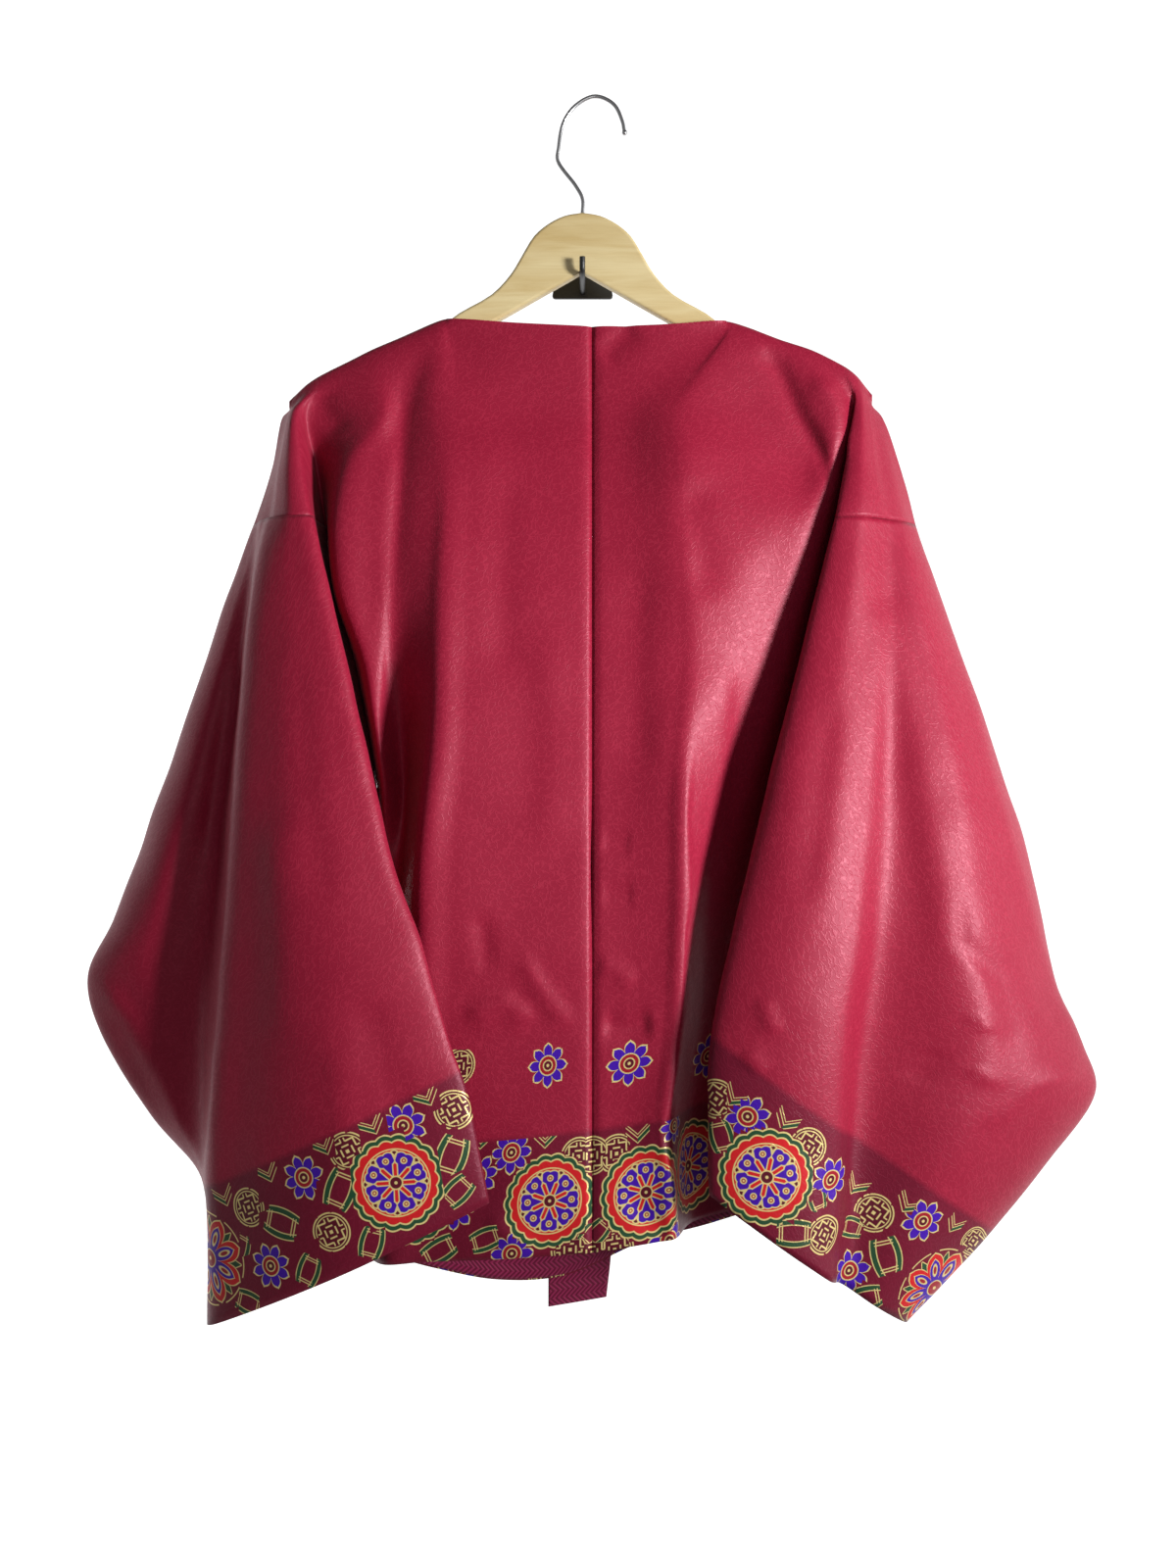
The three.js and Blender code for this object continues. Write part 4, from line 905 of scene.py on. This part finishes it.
def lotus(at):
    radius, along, across, share = at.radius, at.along, at.across, at.share
    rim = 33.5 - (share ** 0.6) * 4.5 - (share ** 3) * 10
    core = 28 - (share ** 0.6) * 6 - (share ** 2.5) * 13
    wedge = radius * (1 - share) * 0.39 - (33 - radius) * 0.45
    tip = wedge.higher(radius - 32).higher(rim + 1.2 - radius)
    eye = ((((along - 17) / 5) ** 2 + (across / 1.9) ** 2) ** 0.5 - 1) * 1.9
    gold = (radius - rim).line(0.6).higher((radius - core).line(0.5))
    gold = gold.higher(tip.line(0.4))
    arc = (radius - 34.4).line(0.5) * (1 - share.below(0.3, 0.02))
    gold = gold.higher(arc).higher(eye.line(0.45)).higher((radius - 6.5).line(0.45))
    gold = gold.higher(radius.below(1.4))
    return {
        "red": radius.below(rim), "purple": radius.below(core), "green": tip.below(0),
        "hub": eye.below(0).higher(radius.below(6.5)), "gold": gold,
    }


def roundel(at):
    """A round badge with a plain square fret, the same along both axes."""
    radius, far, near = at.radius, abs(at.x).higher(abs(at.y)), abs(at.x).lower(abs(at.y))
    gold = (radius - 14.2).line(0.55).higher((radius - 12).line(0.4))
    gold = gold.higher((far - 7.8).line(0.6) * (1 - near.below(1.6)))
    gold = gold.higher((far - 4.4).line(0.6) * near.below(2.9))
    gold = gold.higher((near - 1.6).line(0.5) * far.below(10.6) * (1 - far.below(7.6)))
    return {"maroon": radius.below(14.2), "gold": gold.higher(far.below(1.3))}


def bars(at):
    """Two bowed bars joined by double lines."""
    x, y = at.x, at.y
    bow = abs(y) - 9.2 + (x * x) * 0.012
    body = abs(x).below(14.5)
    rails = (abs(x) - 12).line(0.45).higher((abs(x) - 9.6).line(0.45)) * abs(y).below(7)
    gold = ((abs(bow) - 2.3).line(0.42) * body).higher(rails)
    return {"green": bow.line(2.3) * body, "gold": gold}


def chevron(at):
    """A V with one green arm."""
    x, y = at.x, at.y
    fall = y + 4 - abs(x) * 0.9
    arms = abs(x).below(9.5)
    gold = ((abs(fall) - 2).line(0.45) * arms).higher((fall - 4.6).line(0.4) * arms)
    return {"green": fall.line(2) * arms * (1 - x.below(0)), "gold": gold}


DRAWN = {
    ROSETTE: rosette, FLOWER: flower, LOTUS: lotus, ROUNDEL: roundel, BARS: bars, CHEVRON: chevron,
}
INKS = [
    ("green", ink(28, 74, 46)), ("red", ink(198, 28, 32)), ("purple", ink(60, 14, 158)),
    ("hub", ink(150, 22, 36)), ("maroon", ink(84, 12, 32)),
]
GOLD = ink(226, 206, 136)


def new_material(name):
    material = bpy.data.materials.new(name)
    material.use_nodes = True
    tree = material.node_tree
    tree.nodes.clear()
    return material, Wire(tree)


def finish_material(start, colour, roughness, metallic=0.0, height=None, bump=0.0, constants=None):
    inputs = {"Base Color": colour, "Roughness": roughness, "Metallic": metallic}
    if height is not None:
        inputs["Normal"] = start.make("Bump", {"Strength": 1.0, "Distance": bump, "Height": height})
    shader = start.make("BsdfPrincipled", {**inputs, **(constants or {})})
    start.make("OutputMaterial", {"Surface": shader})


def cloth_mm(start, name):
    """Both cloth coordinates of a UV map, in mm."""
    uv = start.make("UVMap", settings={"uv_map": name})
    return [start.make("SeparateXYZ", {0: uv}, output=axis) / MM for axis in (0, 1)]


def silk_material(name, border):
    """Figured silk: a fine winding figure, and the border's print in coloured inks and gold."""
    material, start = new_material(name)
    _, v = cloth_mm(start, "Cloth")
    across, up = cloth_mm(start, "Figure")
    place = start.make("CombineXYZ", {0: across * 0.24, 1: up * 0.24})
    winding = start.make("TexNoise", {"Vector": place, "Scale": 1.0, "Detail": 0.4, "Distortion": 0.6})
    figure = (winding - 0.5).line(0.04, 0.04)
    fine = start.make("CombineXYZ", {0: across * 0.05, 1: up * 0.05})
    cloudy = start.make("TexNoise", {"Vector": fine, "Scale": 1.0, "Detail": 2.0})
    in_border = v.below(border, 2.5)
    ground = figure.tint(ink(142, 22, 49), ink(154, 33, 58))
    dark = figure.tint(ink(106, 14, 39), ink(114, 21, 45))
    colour = in_border.tint(ground, dark)

    at = motif_place(*cloth_mm(start, "Motif"))
    kind = start.make("Attribute", settings={"attribute_name": "motif_kind"}, output=2)
    total = {}
    for number, draw in DRAWN.items():
        chosen = (kind - number).line(0.5, 0.01)
        for name_of_ink, mask in draw(at).items():
            part = mask * chosen
            total[name_of_ink] = total[name_of_ink].higher(part) if name_of_ink in total else part
    printed = v.below(border - 1).higher(1 - v.below(border + FREE_FROM))
    for name_of_ink, shade in INKS:
        colour = (total[name_of_ink] * printed).tint(colour, shade)
    gold = total["gold"] * printed
    colour = gold.tint(colour, GOLD)
    height = figure * 0.5 + cloudy * 0.4
    roughness = 0.47 - figure * 0.06 - gold * 0.08
    finish_material(
        start, colour, roughness, gold * 0.25, height, 0.00014,
        {
            "Sheen Weight": 0.06, "Sheen Roughness": 0.35, "Specular IOR Level": 0.38,
            "Specular Tint": (1.0, 0.56, 0.66, 1.0),
        },
    )
    return material


def fret_material(name):
    """Thin silk for lining and ties, with raised frets of nested angles on the diagonal."""
    material, start = new_material(name)
    u, v = cloth_mm(start, "Cloth")
    p, q = (u + v) * 0.7071 / 8.5, (u - v) * 0.7071 / 8.5
    odd = ((p.floor() + q.floor()) * 0.5).fraction() * 2
    a, b = abs(p.fraction() - odd), abs(q.fraction() - odd)
    nested = (a.higher(b) * 3).fraction()
    lines = (nested - 0.5).line(0.24, 0.06)
    colour = lines.tint(ink(104, 16, 50), ink(140, 34, 76))
    finish_material(
        start, colour, 0.5 - lines * 0.12, 0.0, lines, 0.0003,
        {"Sheen Weight": 0.08, "Sheen Roughness": 0.35, "Specular IOR Level": 0.3},
    )
    return material


def wood_material(name):
    """Pale close-grained wood with long fibres along the arms."""
    material, start = new_material(name)
    place = start.make("TexCoord", output=3)
    stretched = start.make("Mapping", {0: place, 3: (9.0, 60.0, 75.0)})
    grain = start.make("TexNoise", {"Vector": stretched, "Scale": 1.0, "Detail": 5.0, "Distortion": 0.8})
    fibres = start.make("Mapping", {0: place, 3: (40.0, 600.0, 900.0)})
    fine = start.make("TexNoise", {"Vector": fibres, "Scale": 1.0, "Detail": 2.0})
    colour = grain.ramp(0.35, 0.7).tint(ink(222, 204, 156), ink(200, 174, 118))
    colour = (fine * 0.35).tint(colour, ink(178, 150, 98))
    finish_material(start, colour, 0.42 + fine * 0.15, 0.0, fine, 0.0002, {"Coat Weight": 0.15})
    return material


def plain_material(name, colour, roughness, metallic=0.0, speckle=0.0):
    material, start = new_material(name)
    place = start.make("TexCoord", output=3)
    cloudy = start.make("TexNoise", {"Vector": place, "Scale": 900.0, "Detail": 2.0})
    finish_material(start, colour, roughness + (cloudy - 0.5) * speckle, metallic, cloudy, 0.00004)
    return material


def backdrop_material(name):
    """A pale surround: it looks evenly pale, but sheds its light mostly from behind the jacket."""
    material, start = new_material(name)
    material.cycles.emission_sampling = "NONE"
    place = start.make("TexCoord", output=3)
    depth = start.make("SeparateXYZ", {0: place}, output=1)
    shed, shown = depth.ramp(-0.2, 0.4, 0.03), depth.ramp(-1.5, 0.4, 0.6)
    direct = start.make("LightPath")
    glow = direct * shown + (1 - direct) * shed
    shade = start.make("CombineXYZ", {0: glow, 1: glow, 2: glow})
    shader = start.make("BsdfPrincipled", {
        "Base Color": (0.3, 0.3, 0.3, 1), "Roughness": 0.9, "Emission Color": shade,
        "Emission Strength": 1.0,
    })
    start.make("OutputMaterial", {"Surface": shader})
    return material


def material(name):
    """The named material, made when it is first asked for."""
    if name in bpy.data.materials:
        return bpy.data.materials[name]
    makers = {
        "Silk body": lambda: silk_material(name, BORDER["body"]),
        "Silk cuff": lambda: silk_material(name, BORDER["cuff"]),
        "Fret silk": lambda: fret_material(name),
        "Maple": lambda: wood_material(name),
        "Steel wire": lambda: plain_material(name, (0.62, 0.62, 0.63, 1), 0.24, 1.0, 0.1),
        "Black paint": lambda: plain_material(name, (0.012, 0.013, 0.014, 1), 0.42, 0.0, 0.2),
        "Pale backdrop": lambda: backdrop_material(name),
    }
    return makers[name]()


# Settings

def length(name, description, default):
    return bpy.props.FloatProperty(
        name=name, description=description, default=default, unit="LENGTH", precision=4
    )


class JacketSettings(bpy.types.PropertyGroup):
    """Sizes that the pieces are made with."""

    down: bpy.props.IntProperty(
        name="Rows", description="Cells between two sections down the cloth", default=14, min=2
    )
    across: bpy.props.IntProperty(
        name="Columns", description="Cells between two key points across the cloth", default=12, min=2
    )
    cloth: length("Cloth", "Thickness of the lined silk", 0.0015)
    tie_cloth: length("Tie cloth", "Thickness of the ties", 0.0012)
    lining_cloth: length("Lining cloth", "Thickness of the facing", 0.001)
    crease_depth: bpy.props.FloatProperty(
        name="Crease depth", description="How deep the creases are pressed", default=1.8,
        subtype="FACTOR", min=0, max=3,
    )
    floor_drop: length("Floor", "Distance of the floor below the hook", 1.35)


grids = {}


def side_grids(side):
    """The three fine grids of one side, worked out once."""
    settings = bpy.context.scene.jacket
    if side not in grids:
        grids[side] = jacket_side(side, settings.down, settings.across)
    return grids[side]


# Pieces

class JACKET_OT_backs(bpy.types.Operator):
    """Both back panels, joined by the centre seam"""

    bl_idname = "jacket.backs"
    bl_label = "Back panels"

    def execute(self, context):
        settings = context.scene.jacket
        for side in ("left", "right"):
            grid = side_grids(side)["back"]
            seam_row = SEAM_ROW * settings.down
            edge = BACK_KEYS["edge"] * settings.across
            below = [row[:edge + 1] for row in grid]
            places = unrolled(grid, out_of(side))
            bm, cloth_uv = cloth_mesh(
                grid, places, lambda r, c: r < seam_row or c < edge, side == "left"
            )
            seen = [m for m in SEEN_BODY if (m.x - SEAM_PX) * out_of(side) > -ACROSS_SEAM_PX]
            motifs = placed(seen, below, places, (0, edge))
            motifs += repeated(out_of(side) * HIDDEN_FROM, out_of(side) * HEM_END)
            print_motifs(bm, cloth_uv, motifs)
            lay_creases(bm, BODY_CREASES, settings.crease_depth)
            cloth_piece(
                f"back_{side}", bm, settings.cloth, ["hanger"], "silk", "Silk body", "Fret silk"
            )
        return {"FINISHED"}


class JACKET_OT_fronts(bpy.types.Operator):
    """Both front panels; the left one lies over the right one"""

    bl_idname = "jacket.fronts"
    bl_label = "Front panels"

    def execute(self, context):
        settings = context.scene.jacket
        for side in ("left", "right"):
            grid = side_grids(side)["front"]
            seam_row = SEAM_ROW * settings.down
            edge = FRONT_KEYS["side"] * settings.across
            places = unrolled(grid, 1)
            bm, cloth_uv = cloth_mesh(
                grid, places, lambda r, c: r < seam_row or c < edge, side == "right"
            )
            print_motifs(bm, cloth_uv, repeated(HEM_START, HEM_END))
            hidden = [c for c in BODY_CREASES if c.wall]
            lay_creases(bm, hidden, settings.crease_depth * FRONT_CREASE_SHARE)
            cloth_piece(f"front_{side}", bm, settings.cloth, ["hanger"], "silk", "Silk body")
        return {"FINISHED"}


class JACKET_OT_sleeves(bpy.types.Operator):
    """Both wide sleeves, each one tube of cloth that is open at the armhole and the cuff"""

    bl_idname = "jacket.sleeves"
    bl_label = "Sleeves"

    def execute(self, context):
        settings = context.scene.jacket
        down, across = settings.down, settings.across
        for side in ("left", "right"):
            grid = side_grids(side)["sleeve"]
            armhole = (UNDERARM_ROW - SEAM_ROW) * down
            ring_wall = RING_KEYS["wall"] * across
            places = unrolled(grid, 1, cuff_slant(grid, across))
            bm, cloth_uv = cloth_mesh(
                grid, places, lambda r, c: r >= armhole or c < ring_wall, side == "left",
                RING_KEYS["outer"] * across // 2,
            )
            seen = SEEN_LEFT_CUFF if side == "left" else SEEN_RIGHT_CUFF
            first, last = RING_KEYS["fold"] * across, RING_KEYS["outer"] * across
            motifs = placed(seen, grid, places, (first, last + 1))
            outer_fold, inner_edge = places[-1][last][0], places[-1][-1][0]
            motifs += repeated(outer_fold + PAST_FOLD, inner_edge + PAST_FOLD)
            print_motifs(bm, cloth_uv, motifs)
            lay_creases(bm, SLEEVE_CREASES, settings.crease_depth)
            sewn_to = [f"back_{side}", f"front_{side}"]
            cloth_piece(
                f"sleeve_{side}", bm, settings.cloth, sewn_to, "silk", "Silk cuff", "Fret silk"
            )
        return {"FINISHED"}


def moved_out(grid, towards, distance):
    """A grid moved along its own normals."""
    rows, columns = len(grid), len(grid[0])
    moved = []
    for r in range(rows):
        row = []
        for c in range(columns):
            along = grid[r][min(c + 1, columns - 1)] - grid[r][max(c - 1, 0)]
            fall = grid[min(r + 1, rows - 1)][c] - grid[max(r - 1, 0)][c]
            row.append(grid[r][c] + along.cross(fall).normalized() * (towards * distance))
        moved.append(row)
    return moved


class JACKET_OT_linings(bpy.types.Operator):
    """The facings inside the fronts' hems, in fret silk"""

    bl_idname = "jacket.linings"
    bl_label = "Linings"

    def execute(self, context):
        settings = context.scene.jacket
        for side in ("left", "right"):
            out = out_of(side)
            grid = side_grids(side)["front"]
            rows = round(LINING_SPANS * settings.down)
            columns = round(LINING_COLUMNS * settings.across)
            strip = [row[:columns + 1] for row in grid[-1 - rows:]]
            inner = moved_out(strip, -out, settings.cloth / MM + LAYER_GAP)
            for p in inner[-1]:
                p.z += LINING_INSET
            bm, _ = cloth_mesh(inner, unrolled(inner, 1), lambda r, c: True, side == "right")
            cloth_piece(
                f"lining_{side}", bm, settings.lining_cloth, [f"front_{side}"], "fret_silk",
                "Fret silk",
            )
        return {"FINISHED"}


def depth_on(panel, x, z):
    """Depth of a front's outer face at a place on it."""
    best, depth = 1e9, 0.0
    for row in panel:
        if min(abs(row[0].z - z), abs(row[-1].z - z)) > TIE_SEARCH:
            continue
        for a, b in zip(row, row[1:]):
            for t in (0, 0.5):
                gap = (mix(a.x, b.x, t) - x) ** 2 + (mix(a.z, b.z, t) - z) ** 2
                if gap < best:
                    best, depth = gap, mix(a.y, b.y, t)
    return depth


class JACKET_OT_ties(bpy.types.Operator):
    """Both ties, sewn to the fronts at their tops and hanging past the hem"""

    bl_idname = "jacket.ties"
    bl_label = "Ties"

    def execute(self, context):
        settings = context.scene.jacket
        for node, side in (("tie_long", "left"), ("tie_short", "right")):
            front = side_grids(side)["front"]
            edge = FRONT_KEYS["side"] * settings.across
            panel = [row[:edge + 1] for row in front]
            cloth = settings.tie_cloth / MM
            keys = []
            for s in TIE_STATIONS[node]:
                row = []
                for share in (-0.5, 0, 0.5):
                    x = s.x + share * s.width
                    y = depth_on(panel, x, s.z) + cloth + LAYER_GAP + s.lift
                    row.append(Vector((x, y, s.z + s.slant * share)))
                keys.append(row)
            grid = loft(keys, settings.down * 2, settings.across)
            bm, _ = cloth_mesh(grid, unrolled(grid, 1), lambda r, c: True, True)
            cloth_piece(node, bm, settings.tie_cloth, [f"front_{side}"], "fret_silk", "Fret silk")
        return {"FINISHED"}


def hard_piece(name, bm, finish, node):
    obj = link(name, bm, material(finish))
    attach(obj, "root")
    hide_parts(node)


def slab(bm, outline, y, thickness):
    """A flat plate from its outline in X and Z, drawn out from y towards the camera."""
    face = bm.faces.new([bm.verts.new(Vector((x, y, z)) * MM) for x, z in outline])
    made = bmesh.ops.extrude_face_region(bm, geom=[face])
    moved = [g for g in made["geom"] if isinstance(g, bmesh.types.BMVert)]
    bmesh.ops.translate(bm, verts=moved, vec=Vector((0, -thickness * MM, 0)))
    bmesh.ops.recalc_face_normals(bm, faces=bm.faces)


def hanger_outline():
    """The hanger's outline in X and Z, a smooth curve along each arm."""
    def arm(sign):
        under = [Vector((HANGER_X + sign * o, 0, z)) for o, z in HANGER_UNDER]
        top = [Vector((HANGER_X + sign * o, 0, z)) for o, z in HANGER_TOP]
        end = Vector((HANGER_X + sign * HANGER_END[0], 0, HANGER_END[1]))
        return under, top, end

    under, top, end = arm(1)
    apex, bend = under[-1], under[-2]
    points = [apex] + curve_points([bend] + under[-3::-1] + [end, top[-1]] + top[-2::-1], 3)
    under, top, end = arm(-1)
    points += curve_points(top + [end] + under[:-1], 3)[1:]
    return points


class JACKET_OT_hanger(bpy.types.Operator):
    """The flat wooden hanger with rounded edges"""

    bl_idname = "jacket.hanger"
    bl_label = "Hanger"

    def execute(self, context):
        bm = bmesh.new()
        outline = [(p.x, p.z) for p in hanger_outline()]
        slab(bm, outline, HANGER_THICKNESS / 2, HANGER_THICKNESS)
        flat = [f for f in bm.faces if abs(f.normal.y) > 0.9]
        rims = list(dict.fromkeys(e for f in flat for e in f.edges))
        bmesh.ops.bevel(
            bm, geom=rims, offset=HANGER_BEVEL * MM, offset_type="OFFSET", segments=4,
            profile=0.5, affect="EDGES", material=-1, clamp_overlap=True,
        )
        for face in bm.faces:
            face.smooth = abs(face.normal.y) < 0.999
        hard_piece("Wooden_hanger", bm, "Maple", "hanger")
        return {"FINISHED"}


def sweep(bm, route, radius, segments):
    """A round rod along a route of points in mm, drawn out ring by ring."""
    up = Vector((0, 1, 0)) if abs((route[1] - route[0]).normalized().y) < 0.9 else Vector((1, 0, 0))
    made = bmesh.ops.create_circle(bm, cap_ends=True, segments=segments, radius=radius * MM)
    ring = made["verts"]
    unit = [v.co.copy() for v in ring]
    around = (e for v in ring for e in v.link_edges if all(w in ring for w in e.verts))
    edges = list(dict.fromkeys(around))
    for i, place in enumerate(route):
        ahead = route[min(i + 1, len(route) - 1)] - route[max(i - 1, 0)]
        tangent = ahead.normalized()
        across = tangent.cross(up).normalized()
        normal = across.cross(tangent)
        if i:
            drawn = bmesh.ops.extrude_edge_only(bm, edges=edges)["geom"]
            edges = [g for g in drawn if isinstance(g, bmesh.types.BMEdge)]
            fresh = [g for g in drawn if isinstance(g, bmesh.types.BMVert)]
            ring = sorted(fresh, key=lambda v: min(
                range(segments), key=lambda k: (v.co - ring[k].co).length
            ))
        for v, flat in zip(ring, unit):
            v.co = place * MM + across * flat.x + normal * flat.y
    bmesh.ops.contextual_create(bm, geom=edges)
    bmesh.ops.recalc_face_normals(bm, faces=bm.faces)


class JACKET_OT_hooks(bpy.types.Operator):
    """The steel hook in the hanger, and the black wall hook that carries its notch"""

    bl_idname = "jacket.hooks"
    bl_label = "Hooks"

    def execute(self, context):
        bm = bmesh.new()
        keys = [Vector((x, 0, z)) for x, z in HOOK_ROUTE]
        sweep(bm, curve_points(keys, 8), WIRE / 2, 20)
        ball = bmesh.ops.create_uvsphere(bm, u_segments=24, v_segments=12, radius=HOOK_TIP[2] * MM)
        middle = Vector((HOOK_TIP[0], 0, HOOK_TIP[1])) * MM
        bmesh.ops.translate(bm, verts=ball["verts"], vec=middle)
        for face in bm.faces:
            face.smooth = len(face.verts) < 5
        hard_piece("Steel_hook", bm, "Steel wire", "hook")

        bm = bmesh.new()
        low, high = PLATE["z"], PLATE["z"] + PLATE["height"]
        corners = [
            (HANGER_X - PLATE["bottom"] / 2, low), (HANGER_X + PLATE["bottom"] / 2, low),
            (HANGER_X + PLATE["top"] / 2, high), (HANGER_X - PLATE["top"] / 2, high),
        ]
        slab(bm, corners, WALL_Y, PLATE["thickness"])
        upright = [e for e in bm.edges if abs((e.verts[0].co - e.verts[1].co).normalized().y) > 0.9]
        bmesh.ops.bevel(
            bm, geom=upright, offset=PLATE["corner"] * MM, offset_type="OFFSET", segments=5,
            profile=0.5, affect="EDGES", material=-1,
        )
        shown = (f for f in bm.faces if f.normal.y < -0.9)
        rims = list(dict.fromkeys(e for f in shown for e in f.edges))
        bmesh.ops.bevel(
            bm, geom=rims, offset=PLATE["rim"] * MM, offset_type="OFFSET", segments=3,
            profile=0.5, affect="EDGES", material=-1,
        )
        rod_z = HANGER_UNDER[-1][1] - LAYER_GAP - ROD / 2
        inside_plate = WALL_Y - PLATE["thickness"] / 2
        keys = [Vector((HANGER_X, inside_plate, rod_z)), Vector((HANGER_X, WALL_Y / 2, rod_z))]
        keys += [Vector((HANGER_X, y, rod_z + rise)) for y, rise in PRONG_BEND]
        sweep(bm, curve_points(keys, 7), ROD / 2, 20)
        for face in bm.faces:
            face.smooth = len(face.verts) == 4 and face.calc_area() < 2e-5
        hard_piece("Wall_hook", bm, "Black paint", "wall_hook")
        return {"FINISHED"}


# Stage

class JACKET_OT_stage(bpy.types.Operator):
    """A pale floor that curves up behind, soft lamps and the camera of the photograph"""

    bl_idname = "jacket.stage"
    bl_label = "Stage"

    def execute(self, context):
        scene = context.scene
        floor_z = -scene.jacket.floor_drop
        bm = bmesh.new()
        keys = [Vector((r, 0, floor_z + h)) for r, h in BACKDROP_PROFILE]
        verts = [bm.verts.new(p) for p in curve_points(keys, 4)]
        edges = [bm.edges.new(pair) for pair in zip(verts, verts[1:])]
        bmesh.ops.spin(
            bm, geom=verts + edges, axis=(0, 0, 1), cent=(0, 0, 0), angle=2 * math.pi,
            steps=64, use_merge=True,
        )
        bmesh.ops.remove_doubles(bm, verts=bm.verts, dist=1e-5)
        bmesh.ops.recalc_face_normals(bm, faces=bm.faces)
        for face in bm.faces:
            face.smooth = True
        floor = link("Backdrop", bm, material("Pale backdrop"))

        for name, place, aim, size, power, spread in LAMPS:
            data = bpy.data.lights.new(name, "AREA")
            data.shape = "DISK"
            data.size = size
            data.energy = power
            data.spread = math.radians(spread)
            lamp = bpy.data.objects.new(name, data)
            scene.collection.objects.link(lamp)
            lamp.location = place
            lamp.rotation_euler = (Vector(aim) - Vector(place)).to_track_quat("-Z", "Y").to_euler()
        world = bpy.data.worlds.new("Studio")
        world.use_nodes = True
        world.node_tree.nodes["Background"].inputs[0].default_value = (1, 1, 1, 1)
        world.node_tree.nodes["Background"].inputs[1].default_value = WORLD_LIGHT
        scene.world = world

        data = bpy.data.cameras.new("Camera")
        data.sensor_width = SENSOR
        data.lens = FOCAL_PX / max(PHOTO_SIZE) * SENSOR
        data.clip_start = 0.05
        camera = bpy.data.objects.new("Camera", data)
        scene.collection.objects.link(camera)
        camera.location = CAMERA * MM
        camera.rotation_euler = (math.pi / 2, 0, 0)
        scene.camera = camera
        scene.view_settings.view_transform = "Standard"
        return {"FINISHED"}


class JACKET_PT_panel(bpy.types.Panel):
    """The jacket's sizes and a button for each piece"""

    bl_label = "Wrap jacket"
    bl_idname = "JACKET_PT_panel"
    bl_space_type = "VIEW_3D"
    bl_region_type = "UI"
    bl_category = "Jacket"

    def draw(self, context):
        settings = context.scene.jacket
        for name in JacketSettings.__annotations__:
            self.layout.prop(settings, name)
        for operator in OPERATORS:
            self.layout.operator(operator.bl_idname)


OPERATORS = [
    JACKET_OT_backs, JACKET_OT_fronts, JACKET_OT_sleeves, JACKET_OT_linings, JACKET_OT_ties,
    JACKET_OT_hanger, JACKET_OT_hooks, JACKET_OT_stage,
]
CLASSES = [JacketSettings, *OPERATORS, JACKET_PT_panel]


def register():
    for cls in CLASSES:
        bpy.utils.register_class(cls)
    bpy.types.Scene.jacket = bpy.props.PointerProperty(type=JacketSettings)


def unregister():
    del bpy.types.Scene.jacket
    for cls in reversed(CLASSES):
        bpy.utils.unregister_class(cls)


def main():
    register()
    bpy.ops.jacket.backs()
    bpy.ops.jacket.fronts()
    bpy.ops.jacket.sleeves()
    bpy.ops.jacket.linings()
    bpy.ops.jacket.ties()
    bpy.ops.jacket.hanger()
    bpy.ops.jacket.hooks()
    bpy.ops.jacket.stage()


if __name__ == "__main__":
    main()
